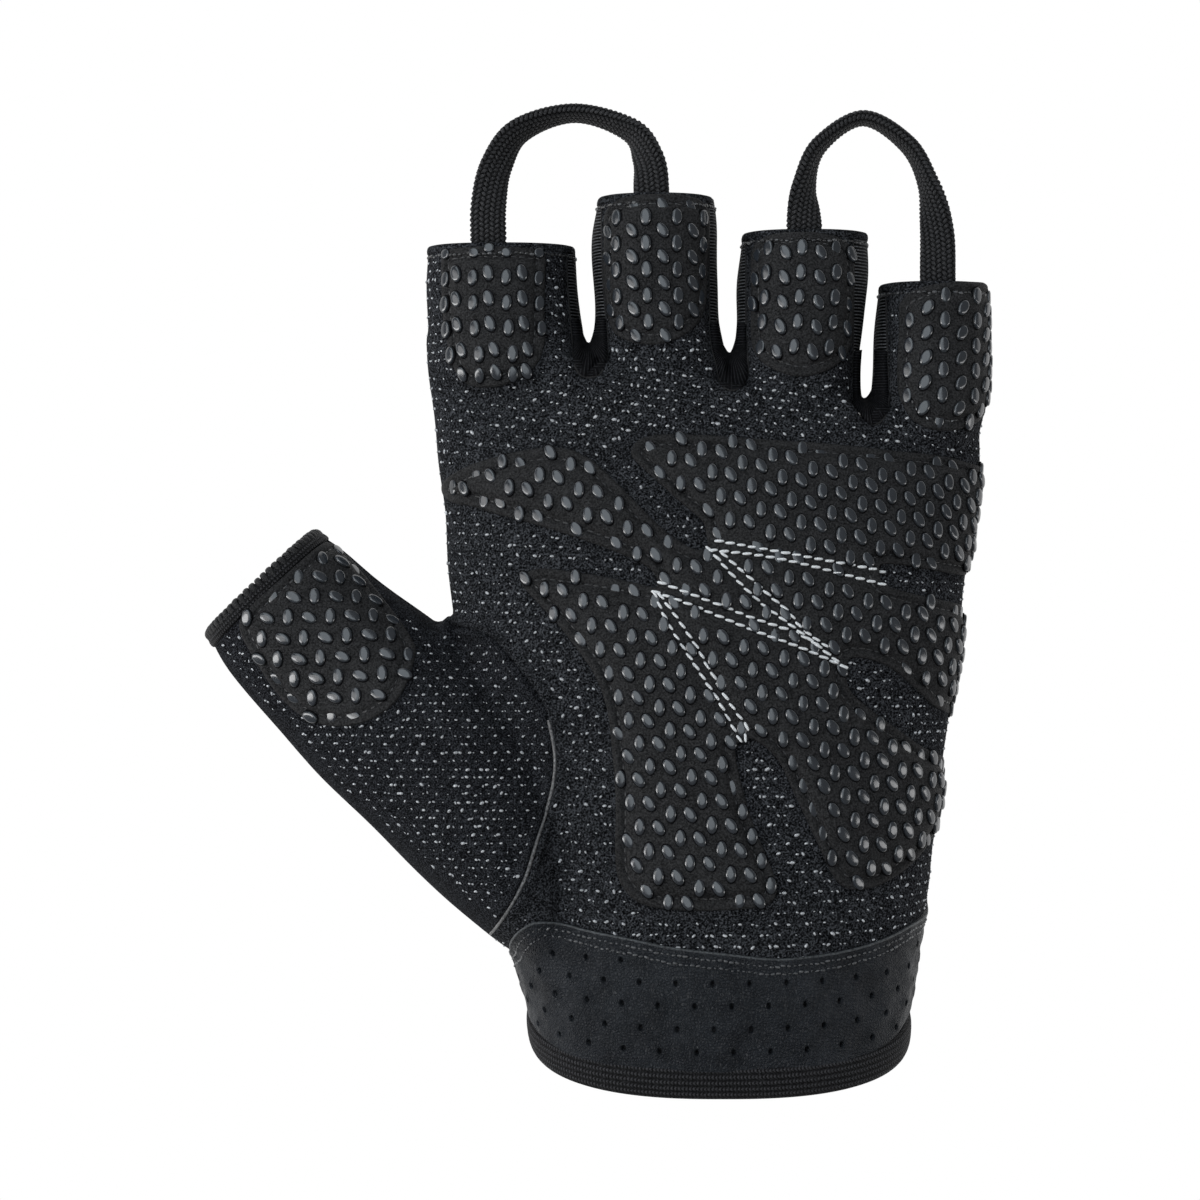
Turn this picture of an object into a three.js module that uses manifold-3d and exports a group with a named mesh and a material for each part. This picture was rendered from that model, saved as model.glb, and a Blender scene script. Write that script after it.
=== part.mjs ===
// A fingerless training glove for the left hand, lying on its back with the palm up.
// Millimetres, +Z up, fingers towards +Y, thumb towards -X. The origin is under the middle
// of the glove, on the surface that it lies on.
//
// The glove is a hollow shell. Its outer form is a hand, four finger tubes and a thumb tube,
// each lofted through a few flattened sections. The shell is cut along its seams into sewn
// panels, and the grip pads, edge bindings and pull loops are laid on it.

import * as THREE from "three";
import { mergeVertices } from "three/addons/utils/BufferGeometryUtils.js";
import Module from "manifold-3d";

const wasm = await Module();
wasm.setup();

// Driving dimensions
const wall = 1.8; // the sewn cloth, with its lining
const seamGap = 0.3; // between two pieces that are sewn together
const sliver = 0.1; // facets narrower than this are merged into their neighbours
const speck = 0.03;
const sideShare = 0.42; // height of a section's widest level, as a share of its top
const nudge = 0.3;
const press = 3.2; // how far the lower half is pressed flat by the surface it lies on
const lowerRound = 2.3; // roundness of the lower half of every section
const tubeRound = 2.3; // roundness of the upper half of a finger or the thumb
const handSteps = 32;
const tubeSteps = 22;
const above = 60; // higher than anything on the glove
const below = -6;
const plate = [[-120, -120], [120, -120], [120, 120], [-120, 120]];

const bindingProud = 0.5;
const padRim = 1.1; // the sewn edge of a grip pad
const padStep = 2.1;
const padCrown = 3.1; // the foam-filled middle of the palm pad
const smallPadRim = 1.5;

const tapeWidth = 6.4;
const tapeThickness = 2.6;
const tapeSteps = 22;
const tapeSides = 10;

// The hand, a row for each section from the wrist to the knuckles.
// lean tips a section so that the palm side reaches further towards the wrist, and slant
// turns it so that the knuckle line falls towards the little finger.
const leanLevel = 17;
const slantCentre = 20;
const handRows = [
  { at: -77.4, left: -11.7, right: 54.4, top: 41.2, round: 2.4, lean: 0.37, slant: 0 },
  { at: -70.6, left: -13.2, right: 55.6, top: 41.5, round: 2.35, lean: 0.3, slant: 0 },
  { at: -63.6, left: -15.6, right: 57.2, top: 40.9, round: 2.3, lean: 0.18, slant: 0 },
  { at: -51.0, left: -17.3, right: 59.2, top: 39.5, round: 2.25, lean: 0.05, slant: 0 },
  { at: -34.0, left: -20.0, right: 60.9, top: 38.5, round: 2.3, lean: 0, slant: 0 },
  { at: -16.4, left: -23.0, right: 63.1, top: 37.5, round: 2.35, lean: 0, slant: 0 },
  { at: 0.9, left: -25.9, right: 65.1, top: 35.5, round: 2.4, lean: 0, slant: 0.03 },
  { at: 18.0, left: -27.9, right: 67.2, top: 32.0, round: 2.4, lean: 0, slant: 0.08 },
  { at: 29.0, left: -29.8, right: 68.9, top: 28.5, round: 2.4, lean: 0, slant: 0.13 },
  { at: 39.5, left: -30.6, right: 69.4, top: 25.7, round: 2.4, lean: 0, slant: 0.16 },
];

// The finger tubes, from inside the knuckles to the open tip
const fingerRows = {
  index: [
    { at: 29.0, left: -23.0, right: -2.0, top: 21.0 },
    { at: 40.0, left: -30.3, right: 0.6, top: 25.5 },
    { at: 44.5, left: -30.7, right: -1.3, top: 24.8 },
    { at: 49.0, left: -31.0, right: -3.2, top: 24.0 },
    { at: 57.8, left: -31.2, right: -4.0, top: 23.0 },
    { at: 63.8, left: -30.2, right: -4.4, top: 22.0 },
  ],
  middle: [
    { at: 28.0, left: -2.6, right: 24.0, top: 25.0 },
    { at: 38.0, left: -3.6, right: 25.2, top: 26.6 },
    { at: 43.0, left: -2.8, right: 23.8, top: 25.6 },
    { at: 49.0, left: -0.9, right: 21.5, top: 24.8 },
    { at: 58.2, left: -1.2, right: 21.2, top: 23.8 },
    { at: 67.0, left: -1.5, right: 21.1, top: 23.0 },
    { at: 72.7, left: -0.3, right: 20.4, top: 22.0 },
  ],
  ring: [
    { at: 26.0, left: 22.4, right: 47.6, top: 24.4 },
    { at: 36.0, left: 21.8, right: 48.6, top: 26.0 },
    { at: 42.0, left: 22.9, right: 47.0, top: 25.0 },
    { at: 48.4, left: 24.9, right: 47.2, top: 24.2 },
    { at: 58.0, left: 24.7, right: 48.5, top: 23.2 },
    { at: 66.2, left: 25.8, right: 48.4, top: 22.0 },
  ],
  little: [
    { at: 17.0, left: 50.0, right: 62.0, top: 20.0 },
    { at: 30.0, left: 46.6, right: 69.5, top: 24.6 },
    { at: 36.0, left: 48.4, right: 70.2, top: 23.6 },
    { at: 46.6, left: 49.6, right: 70.4, top: 22.4 },
    { at: 57.0, left: 50.6, right: 70.0, top: 21.0 },
  ],
};

// The thumb tube, from inside the heel of the palm to the open tip, on an axis of its own
const thumbTip = new THREE.Vector2(-60.6, 1.1);
const thumbHeading = THREE.MathUtils.degToRad(133.5);
const thumbRows = [
  { at: -85.0, left: -8.0, right: 2.0, top: 32.0 },
  { at: -78.0, left: -11.4, right: 5.0, top: 35.0 },
  { at: -71.0, left: -12.7, right: 10.0, top: 36.8 },
  { at: -63.6, left: -13.8, right: 16.0, top: 36.8 },
  { at: -51.4, left: -14.3, right: 21.0, top: 35.2 },
  { at: -39.0, left: -14.7, right: 21.9, top: 33.0 },
  { at: -27.0, left: -15.0, right: 19.3, top: 29.0 },
  { at: -14.0, left: -15.0, right: 16.8, top: 26.0 },
  { at: -3.0, left: -14.0, right: 15.9, top: 24.0 },
  { at: 1.7, left: -12.3, right: 14.2, top: 23.0 },
];

const limbs = {
  hand: { base: new THREE.Vector2(0, 0), heading: Math.PI / 2, rows: handRows, steps: handSteps },
  thumb: { base: thumbTip, heading: thumbHeading, rows: thumbRows, steps: tubeSteps },
};
for (const [name, rows] of Object.entries(fingerRows))
  limbs[name] = { base: new THREE.Vector2(0, 0), heading: Math.PI / 2, rows, steps: tubeSteps };

// Height of the seam between palm and back, as points of [y, z] from the wrist to the tips
const sideSeam = [[-120, 15.0], [-40, 14.5], [0, 13.0], [30, 10.5], [80, 9.0], [120, 9.0]];
const fourchetteFoot = 4.5; // height of the seam between a side strip and the back
const hemDepth = 4.4; // the wrist binding, along the glove
const thumbBindingDepth = 2.4;

// The heel seam that joins the thumb to the palm, from the thumb crotch to the wrist
const heelSeam = [
  [-26.6, -5.2], [-22.4, -6.6], [-18.4, -8.3], [-14.5, -12.8], [-10.6, -17.8], [-8.6, -21.5],
  [-7.5, -26.5], [-7.3, -31.6], [-8.2, -36.5], [-9.9, -42.0], [-12.0, -49.3], [-14.6, -55.2],
  [-18.6, -61.0],
];
const thumbSurround = [[-32, -78], [-95, -50], [-95, 30], [-32, 12]];

// The upper edge of the wrist band, from the thumb side to the little finger side
const bandEdge = [
  [-15.6, -64.8], [-10.6, -58.6], [-6.5, -58.6], [0.2, -59.8], [7.5, -61.0], [21.0, -62.8],
  [33.1, -63.6], [43.5, -62.6], [51.8, -60.4], [55.6, -58.8], [59.5, -56.6],
];
// The side strip between two fingers, as its outline seen from the palm
const fourchetteOutlines = {
  index_middle: [
    [-4.6, 38.4], [-2.2, 37.0], [0.4, 38.4], [1.6, 41.6], [1.9, 50.6], [1.3, 60.0], [1.5, 80.0],
    [-5.8, 80.0], [-6.0, 60.0], [-5.6, 50.6], [-5.2, 41.6],
  ],
  middle_ring: [
    [21.2, 37.8], [23.4, 36.4], [25.6, 37.8], [26.9, 41.2], [27.5, 50.6], [27.2, 59.4], [27.9, 80.0],
    [18.9, 80.0], [19.3, 59.4], [19.7, 50.6], [20.3, 41.2],
  ],
  ring_little: [
    [46.2, 31.0], [48.4, 29.4], [50.4, 31.0], [51.8, 34.6], [52.4, 47.4], [52.9, 75.0],
    [46.5, 75.0], [46.6, 58.6], [45.8, 50.2], [45.4, 38.4],
  ],
};

// The palm pad is one sheet with this outline. It runs round both sides of the hand.
const padOutline = [
  [-36, 19.5], [-23.6, 20.9], [-16.8, 22.8], [-9.6, 24.6], [-5.4, 25.2], [1.6, 26.2], [6.4, 26.4],
  [11.4, 27.0], [23.6, 25.8], [39.6, 24.6], [51.8, 23.4], [62.6, 22.4], [74, 20.4], [72, -20],
  [67, -50.5], [59.2, -46.5], [55.8, -49.4], [51.4, -51.4], [46.2, -52.6], [42.4, -52.2],
  [31.0, -53.6], [28.8, -55.4], [26.0, -56.4], [17.0, -56.5], [10.0, -56.1], [5.4, -54.0],
  [3.2, -50.8], [2.8, -46.0], [3.0, -40.4], [2.6, -30.0], [1.6, -22.6], [-1.2, -14.6],
  [-5.6, -8.6], [-11.8, -2.4], [-14.8, 1.0], [-14.4, 2.8], [-24.0, 12.0], [-36, 16.4],
];
// The notches that let the palm pad flex: from a round tip to an open mouth. bow bends the
// middle of a notch sideways, tipHalf and mouthHalf are its half widths.
const notches = {
  index: { tip: [18.2, 8.6], mouth: [-0.2, 29.5], tipHalf: 2.3, mouthHalf: 4.4, bow: -1.6 },
  thumb: { tip: [9.8, 1.4], mouth: [-26.0, 11.5], tipHalf: 1.3, mouthHalf: 5.0, bow: -1.6 },
  ring: { tip: [50.8, 2.4], mouth: [72.0, -2.6], tipHalf: 1.9, mouthHalf: 3.0, bow: 0.4 },
  little: { tip: [44.6, -14.8], mouth: [68.0, -31.6], tipHalf: 3.0, mouthHalf: 2.4, bow: -0.8 },
  heel: { tip: [27.2, -28.4], mouth: [38.6, -58.0], tipHalf: 2.6, mouthHalf: 5.4, bow: 0.8 },
};
// The padded cushions between the notches, each as its corners
const cushions = [
  [[-27, 18.2], [-6.4, 22.2], [4.0, 12.2], [15.6, 5.2], [10.8, 3.8], [-8.0, 14.2]],
  [[8.4, 24.0], [61.0, 19.6], [62.5, 4.0], [50.6, 5.6], [22.4, 8.8]],
  [[52.6, -0.8], [61.4, -4.0], [58.8, -18.6], [46.0, -11.0], [26.0, 5.2]],
  [[17.4, 5.2], [40.8, -12.6], [12.8, -2.2]],
  [[-10.6, 1.8], [7.6, -2.4], [22.4, -27.8], [29.6, -50.8], [9.4, -52.8], [6.6, -22.0]],
  [[12.0, -5.6], [41.6, -18.4], [56.4, -29.0], [53.6, -42.6], [45.6, -48.8], [29.2, -25.6]],
];

// The finger pads, each as half an outline's sizes: a straight top and a round lower end
const fingerPads = {
  index: { left: -28.0, right: -9.6, tip: 63.5, end: 36.2 },
  middle: { left: 0.9, right: 19.4, tip: 72.4, end: 45.2 },
  ring: { left: 27.2, right: 46.0, tip: 65.9, end: 38.8 },
  little: { left: 52.8, right: 68.6, tip: 56.7, end: 28.8 },
};
const thumbPad = { left: -10.0, right: 14.8, tip: -1.1, end: -31.0 };
const padFoot = 14; // a pad ends this far above the surface

// The pull loops, each a tape that leaves one fingertip and enters the next.
// turn is how far its broad side has turned up on edge, in degrees.
const pullLoops = {
  index_middle: [
    { x: -20.0, y: 58.0, z: 18.3, turn: 0 },
    { x: -20.0, y: 64.4, z: 17.4, turn: 0 },
    { x: -20.0, y: 71.0, z: 15.9, turn: 4 },
    { x: -18.6, y: 78.4, z: 13.2, turn: 22 },
    { x: -14.2, y: 84.8, z: 10.4, turn: 48 },
    { x: -4.6, y: 88.2, z: 8.6, turn: 62 },
    { x: 5.0, y: 85.0, z: 10.0, turn: 52 },
    { x: 8.4, y: 79.6, z: 13.8, turn: 26 },
    { x: 9.2, y: 73.4, z: 17.4, turn: 2 },
    { x: 9.2, y: 67.0, z: 18.7, turn: 0 },
  ],
  ring_little: [
    { x: 36.6, y: 60.4, z: 18.9, turn: 0 },
    { x: 36.6, y: 66.8, z: 17.9, turn: 3 },
    { x: 36.6, y: 74.4, z: 15.4, turn: 40 },
    { x: 39.4, y: 82.0, z: 12.0, turn: 70 },
    { x: 47.6, y: 86.6, z: 9.6, turn: 86 },
    { x: 55.6, y: 82.4, z: 10.2, turn: 74 },
    { x: 59.4, y: 75.2, z: 11.6, turn: 56 },
    { x: 60.6, y: 66.6, z: 14.2, turn: 22 },
    { x: 60.6, y: 58.0, z: 16.6, turn: 2 },
    { x: 60.6, y: 51.2, z: 17.5, turn: 0 },
  ],
};

// A closed three.js geometry as a manifold-3d solid
function solidOf(geometry) {
  const bare = geometry.index ? geometry.toNonIndexed() : geometry.clone();
  for (const name of Object.keys(bare.attributes)) if (name !== "position") bare.deleteAttribute(name);
  const merged = mergeVertices(bare, 1e-4);
  return new wasm.Manifold(
    new wasm.Mesh({
      numProp: 3,
      vertProperties: new Float32Array(merged.attributes.position.array),
      triVerts: new Uint32Array(merged.index.array),
    }),
  );
}

// A solid as a three.js geometry, with the specks that cutting leaves drawn into one corner each
function geometryOf(solid) {
  const mesh = solid.getMesh();
  const corner = (i) => new THREE.Vector3().fromArray(mesh.vertProperties, i * mesh.numProp);
  const owner = Array.from({ length: mesh.numVert }, (_, i) => i);
  const rootOf = (i) => (owner[i] === i ? i : (owner[i] = rootOf(owner[i])));
  const cornersOf = (face) => Array.from(mesh.triVerts.subarray(3 * face, 3 * face + 3));
  const faces = Array.from({ length: mesh.numTri }, (_, face) => cornersOf(face));
  for (const face of faces)
    face.forEach((a, k) => {
      const b = face[(k + 1) % 3];
      if (corner(a).distanceTo(corner(b)) < speck) owner[rootOf(a)] = rootOf(b);
    });
  const kept = new Map();
  for (const face of faces) {
    const roots = face.map(rootOf);
    if (new Set(roots).size < 3) continue;
    const key = [...roots].sort((a, b) => a - b).join();
    if (kept.has(key)) kept.delete(key);
    else kept.set(key, roots);
  }
  const places = new Map();
  const points = [];
  const index = [...kept.values()].flat().map((root) => {
    if (!places.has(root)) places.set(root, points.push(corner(root)) - 1);
    return places.get(root);
  });
  return new THREE.BufferGeometry().setFromPoints(points).setIndex(index);
}

// A closed skin through rings of points, with a fan of triangles over each end ring
function skinThrough(rings) {
  const count = rings[0].length;
  const points = rings.flat();
  const faces = [];
  for (let r = 0; r + 1 < rings.length; r++)
    for (let k = 0; k < count; k++) {
      const a = r * count + k;
      const b = r * count + ((k + 1) % count);
      faces.push(a, a + count, b, b, a + count, b + count);
    }
  for (const [ring, first, flip] of [
    [rings[0], 0, true],
    [rings.at(-1), (rings.length - 1) * count, false],
  ]) {
    const middle = ring.reduce((sum, p) => sum.add(p), new THREE.Vector3()).divideScalar(count);
    const hub = points.push(middle) - 1;
    for (let k = 0; k < count; k++) {
      const a = first + k;
      const b = first + ((k + 1) % count);
      faces.push(...(flip ? [hub, a, b] : [hub, b, a]));
    }
  }
  return solidOf(new THREE.BufferGeometry().setFromPoints(points).setIndex(faces));
}

const power = (value, exponent) => Math.sign(value) * Math.abs(value) ** exponent;

// One section of a limb: round above its widest level, and pressed flat below it
function section(limb, row, grow) {
  const side = sideShare * row.top;
  const halfWidth = (row.right - row.left) / 2 + grow;
  const centre = (row.right + row.left) / 2;
  const along = new THREE.Vector2(Math.cos(limb.heading), Math.sin(limb.heading));
  const across = new THREE.Vector2(along.y, -along.x);
  return Array.from({ length: limb.steps }, (_, k) => {
    const angle = (2 * Math.PI * k) / limb.steps;
    const upper = Math.sin(angle) >= 0;
    const round = 2 / (upper ? (row.round ?? tubeRound) : lowerRound);
    const reach = (upper ? row.top - side : side + press) + grow;
    const u = centre + halfWidth * power(Math.cos(angle), round);
    const z = side + reach * power(Math.sin(angle), round);
    const s = row.at - (row.slant ?? 0) * (u - slantCentre) - (row.lean ?? 0) * (z - leanLevel);
    return new THREE.Vector3(
      limb.base.x + along.x * s + across.x * u,
      limb.base.y + along.y * s + across.y * u,
      z,
    );
  });
}

// A limb as a solid. base and tip move its two ends outwards along it, or inwards if negative.
function limbSolid(limb, grow, { base = 0, tip = 0 } = {}) {
  const [first, last] = [limb.rows[0], limb.rows.at(-1)];
  const rows = limb.rows.slice(1, -1);
  if (base > 0) rows.unshift({ ...first, at: first.at - base }, { ...first, at: first.at - nudge });
  else rows.unshift({ ...first, at: first.at - base });
  if (tip > 0) rows.push({ ...last, at: last.at + nudge }, { ...last, at: last.at + tip });
  else rows.push({ ...last, at: last.at + tip });
  return skinThrough(rows.map((row) => section(limb, row, grow)));
}

const joined = (solids) => solids.reduce((whole, one) => whole.add(one));

function outerForm(grow) {
  return joined(Object.values(limbs).map((limb) => limbSolid(limb, grow))).intersect(prism(plate, 0));
}

function hollowForm() {
  const parts = Object.entries(limbs).map(([name, limb]) =>
    limbSolid(limb, -wall, name === "hand" ? { base: 6, tip: -wall } : { base: -1, tip: 6 }),
  );
  return joined(parts).intersect(prism(plate, wall));
}

// A straight prism over an outline seen from the palm
function prism(outline, low = below, high = above) {
  const shape = new THREE.Shape(outline.map(([x, y]) => new THREE.Vector2(x, y)));
  const geometry = new THREE.ExtrudeGeometry(shape, { depth: high - low, bevelEnabled: false });
  return solidOf(geometry.translate(0, 0, low));
}

// An outline moved outwards along the mean of its neighbouring edges' normals
function widened(outline, distance) {
  const points = outline.map(([x, y]) => new THREE.Vector2(x, y));
  const turn = Math.sign(THREE.ShapeUtils.area(points));
  return points.map((p, i) => {
    const before = p.clone().sub(points.at(i - 1)).normalize();
    const after = points[(i + 1) % points.length].clone().sub(p).normalize();
    const mean = new THREE.Vector2(before.y + after.y, -before.x - after.x).normalize();
    const miter = Math.max(0.4, mean.x * before.y - mean.y * before.x);
    return p.addScaledVector(mean, (turn * distance) / miter).toArray();
  });
}

// An outline drawn in about its middle
function drawnIn(outline, share) {
  const middle = outline.reduce((sum, [x, y]) => [sum[0] + x, sum[1] + y], [0, 0]);
  const [cx, cy] = middle.map((total) => total / outline.length);
  return outline.map(([x, y]) => [cx + (x - cx) * share, cy + (y - cy) * share]);
}

// A slab right across the glove over an outline of [y, z] points seen from the side
function sideSlab(outline) {
  const shape = new THREE.Shape(outline.map(([y, z]) => new THREE.Vector2(y, z)));
  const geometry = new THREE.ExtrudeGeometry(shape, { depth: 240, bevelEnabled: false });
  const turned = new THREE.Matrix4().makeBasis(
    new THREE.Vector3(0, 1, 0),
    new THREE.Vector3(0, 0, 1),
    new THREE.Vector3(1, 0, 0),
  );
  return solidOf(geometry.translate(0, 0, -120).applyMatrix4(turned));
}

// Everything above or below the seam between palm and back
function sideCut(upper) {
  const shift = (upper ? 1 : -1) * (seamGap / 2);
  const far = upper ? above : below;
  return sideSlab([...sideSeam.map(([y, z]) => [y, z + shift]), [120, far], [-120, far]]);
}

// Everything within a depth of the slanted wrist end
function wristEnd(depth) {
  const { at, lean } = handRows[0];
  const edge = (z) => [at + depth - lean * (z - leanLevel), z];
  return sideSlab([edge(below), edge(above), [-140, above], [-140, below]]);
}

// The part of the plane on the wrist side of an edge that runs across the glove
function wristSide(edge, shift) {
  const moved = edge.map(([x, y]) => [x, y + shift]);
  return prism([[-120, moved[0][1]], ...moved, [120, moved.at(-1)[1]], [120, -120], [-120, -120]]);
}

// A slab across the thumb, in its own frame, from one station to another
function thumbSlab(from, to) {
  const along = new THREE.Vector2(Math.cos(thumbHeading), Math.sin(thumbHeading));
  const across = new THREE.Vector2(along.y, -along.x);
  const corner = (s, u) => thumbTip.clone().addScaledVector(along, s).addScaledVector(across, u).toArray();
  return prism([corner(from, -24), corner(from, 24), corner(to, 24), corner(to, -24)]);
}

function notchOutline({ tip, mouth, tipHalf, mouthHalf, bow }) {
  const [start, end] = [new THREE.Vector2(...tip), new THREE.Vector2(...mouth)];
  const along = end.clone().sub(start).normalize();
  const across = new THREE.Vector2(-along.y, along.x);
  const side = (share, sign) => {
    const half = sign * THREE.MathUtils.lerp(tipHalf, mouthHalf, share);
    const off = half + bow * Math.sin(Math.PI * share);
    return start.clone().lerp(end, share).addScaledVector(across, off).toArray();
  };
  const shares = [0, 0.25, 0.5, 0.75, 1];
  const roundTip = [-60, -20, 20, 60].map((degrees) => {
    const angle = THREE.MathUtils.degToRad(degrees);
    return start
      .clone()
      .addScaledVector(along, -tipHalf * Math.cos(angle))
      .addScaledVector(across, tipHalf * Math.sin(angle))
      .toArray();
  });
  const there = shares.map((share) => side(share, 1));
  const back = shares.map((share) => side(1 - share, -1));
  return [...roundTip, ...there, ...back];
}

// A pad's outline: straight across its top, and round at its lower end
function tongue({ left, right, tip, end }) {
  const radius = (right - left) / 2;
  const middle = (left + right) / 2;
  const roundEnd = Array.from({ length: 9 }, (_, k) => {
    const angle = Math.PI + (Math.PI * k) / 8;
    const across = power(Math.cos(angle), 0.8);
    const along = 1 + power(Math.sin(angle), 0.8);
    return [middle + radius * across, end + radius * along];
  });
  return [[left, tip], ...roundEnd, [right, tip]];
}

function thumbTongue() {
  const along = new THREE.Vector2(Math.cos(thumbHeading), Math.sin(thumbHeading));
  const across = new THREE.Vector2(along.y, -along.x);
  return tongue(thumbPad).map(([u, s]) =>
    thumbTip.clone().addScaledVector(along, s).addScaledVector(across, u).toArray(),
  );
}

// A flat tape swept along a smooth path, turning up on edge as its row says
function tape(rows) {
  const path = new THREE.CatmullRomCurve3(rows.map((row) => new THREE.Vector3(row.x, row.y, row.z)));
  const up = new THREE.Vector3(0, 0, 1);
  const rings = Array.from({ length: tapeSteps + 1 }, (_, i) => {
    const share = i / tapeSteps;
    const here = path.getPoint(share);
    const along = path.getTangent(share);
    const place = share * (rows.length - 1);
    const row = Math.min(Math.floor(place), rows.length - 2);
    const turn = THREE.MathUtils.degToRad(
      THREE.MathUtils.lerp(rows[row].turn, rows[row + 1].turn, place - row),
    );
    const flat = new THREE.Vector3().crossVectors(along, up).normalize();
    const broad = flat.applyAxisAngle(along, turn);
    const thin = new THREE.Vector3().crossVectors(broad, along).normalize();
    return Array.from({ length: tapeSides }, (_, k) => {
      const angle = (2 * Math.PI * k) / tapeSides;
      return here
        .clone()
        .addScaledVector(broad, (tapeWidth / 2) * power(Math.cos(angle), 0.8))
        .addScaledVector(thin, (tapeThickness / 2) * power(Math.sin(angle), 0.8));
    });
  });
  return skinThrough(rings);
}

const skin = outerForm(0);
const hollow = hollowForm();
const shell = skin.subtract(hollow);

// Cuts that divide the shell along its seams
const palmSide = sideCut(true);
const backSide = sideCut(false);
const thumbZone = [...heelSeam, ...thumbSurround];
const hemZone = wristEnd(hemDepth);
const hemClear = wristEnd(hemDepth + seamGap);
const bandZone = wristSide(bandEdge, -seamGap);
const bandClear = wristSide(bandEdge, 0);
const thumbMouth = thumbRows.at(-1).at;
const thumbBindingZone = thumbSlab(thumbMouth - thumbBindingDepth, 10);
const strips = Object.fromEntries(
  Object.entries(fourchetteOutlines).map(([name, outline]) => [
    name,
    {
      cut: prism(outline, fourchetteFoot),
      clear: prism(widened(outline, seamGap), fourchetteFoot - seamGap),
    },
  ]),
);
const allStrips = joined(Object.values(strips).map((strip) => strip.clear));
const thumbClear = prism(widened(thumbZone, seamGap));
const handShell = shell.subtract(allStrips).subtract(thumbClear).subtract(hemClear);

function bindingRing(zone) {
  const inner = joined([
    limbSolid(limbs.hand, -wall - bindingProud, { base: 6 }),
    limbSolid(limbs.thumb, -wall - bindingProud, { tip: 6 }),
  ]);
  const outer = joined([limbSolid(limbs.hand, bindingProud), limbSolid(limbs.thumb, bindingProud)]);
  return outer.intersect(prism(plate, 0)).subtract(inner.intersect(prism(plate, wall))).intersect(zone);
}

function grips() {
  const liner = outerForm(seamGap);
  const overPalm = prism(plate, padFoot);
  const layer = (grow) => outerForm(grow).subtract(liner).intersect(overPalm);
  const rim = layer(padRim + seamGap);
  const step = layer(padStep + seamGap);
  const crown = layer(padCrown + seamGap);
  const notched = joined(Object.values(notches).map((notch) => prism(notchOutline(notch))));
  const sheet = prism(padOutline).subtract(notched);
  const palm = joined([
    rim.intersect(sheet),
    ...cushions.map((corners) => step.intersect(prism(drawnIn(corners, 0.97)))),
    ...cushions.map((corners) => crown.intersect(prism(drawnIn(corners, 0.84)))),
  ]);
  const small = layer(smallPadRim + seamGap);
  const pads = { palm_grip_pad: palm, thumb_grip_pad: small.intersect(prism(thumbTongue())) };
  for (const [name, pad] of Object.entries(fingerPads)) {
    pads[`${name}_grip_pad`] = small.intersect(prism(tongue(pad)));
  }
  return pads;
}

const knit = new THREE.MeshStandardMaterial({ color: 0x17181b, roughness: 0.9 });
const elastic = new THREE.MeshStandardMaterial({ color: 0x0d0d0f, roughness: 0.8 });
const leather = new THREE.MeshStandardMaterial({ color: 0x1e2125, roughness: 0.55 });
const grip = new THREE.MeshStandardMaterial({ color: 0x1d1e20, roughness: 0.6 });
const braid = new THREE.MeshStandardMaterial({ color: 0x18181a, roughness: 0.85 });

const glove = new THREE.Group();
function addPiece(name, solid, material) {
  const bodies = solid.simplify(sliver).decompose();
  const largest = bodies.reduce((best, body) => (body.volume() > best.volume() ? body : best));
  const mesh = new THREE.Mesh(geometryOf(largest), material);
  mesh.name = name;
  glove.add(mesh);
}

addPiece("palm_panel", handShell.intersect(palmSide).subtract(bandClear), knit);
addPiece("wrist_band", handShell.intersect(palmSide).intersect(bandZone), leather);
addPiece("back_panel", handShell.intersect(backSide), elastic);
const thumbBindingClear = thumbSlab(thumbMouth - thumbBindingDepth - seamGap, 10);
addPiece("thumb_panel", shell.intersect(prism(thumbZone)).subtract(thumbBindingClear), knit);
addPiece("thumb_binding", bindingRing(thumbBindingZone), elastic);
addPiece("wrist_binding", bindingRing(hemZone), elastic);
for (const [name, strip] of Object.entries(strips))
  addPiece(`fourchette_${name}`, shell.intersect(strip.cut), elastic);
for (const [name, solid] of Object.entries(grips())) addPiece(name, solid, grip);
for (const [name, rows] of Object.entries(pullLoops)) addPiece(`pull_loop_${name}`, tape(rows), braid);

export default glove;
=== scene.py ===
import math

import bmesh
import bpy
import numpy as np
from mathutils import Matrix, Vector
from mathutils.bvhtree import BVHTree
from mathutils.geometry import delaunay_2d_cdt


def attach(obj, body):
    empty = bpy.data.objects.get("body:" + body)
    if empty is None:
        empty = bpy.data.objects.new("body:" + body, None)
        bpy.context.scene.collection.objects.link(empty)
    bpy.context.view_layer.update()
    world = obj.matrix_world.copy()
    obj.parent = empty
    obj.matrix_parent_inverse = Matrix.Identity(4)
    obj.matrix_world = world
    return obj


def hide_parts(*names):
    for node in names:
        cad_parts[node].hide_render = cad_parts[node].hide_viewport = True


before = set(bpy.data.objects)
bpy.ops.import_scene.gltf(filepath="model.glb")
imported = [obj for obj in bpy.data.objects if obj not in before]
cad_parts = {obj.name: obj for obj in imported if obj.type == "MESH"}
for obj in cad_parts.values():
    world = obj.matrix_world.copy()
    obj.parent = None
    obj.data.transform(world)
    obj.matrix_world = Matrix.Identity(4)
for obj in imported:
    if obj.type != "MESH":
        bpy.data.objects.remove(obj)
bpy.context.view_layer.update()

# All lengths below are millimetres. Photo places are pixels of the 1200 pixel wide picture.
mm = 0.001
pixel = 0.18
photoMiddle = 600
lensHeight = 800.0
sideLevel = 14.0
tau = 2 * math.pi


def spot(px, py, z=30.0):
    # The place at height z that shows at a pixel of the photo.
    k = pixel * (1 - (z - sideLevel) / lensHeight)
    return np.array([(px - photoMiddle) * k, (photoMiddle - py) * k])


def spots(pixels, z=30.0):
    return np.array([spot(px, py, z) for px, py in pixels])


# the forms of the glove

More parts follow.
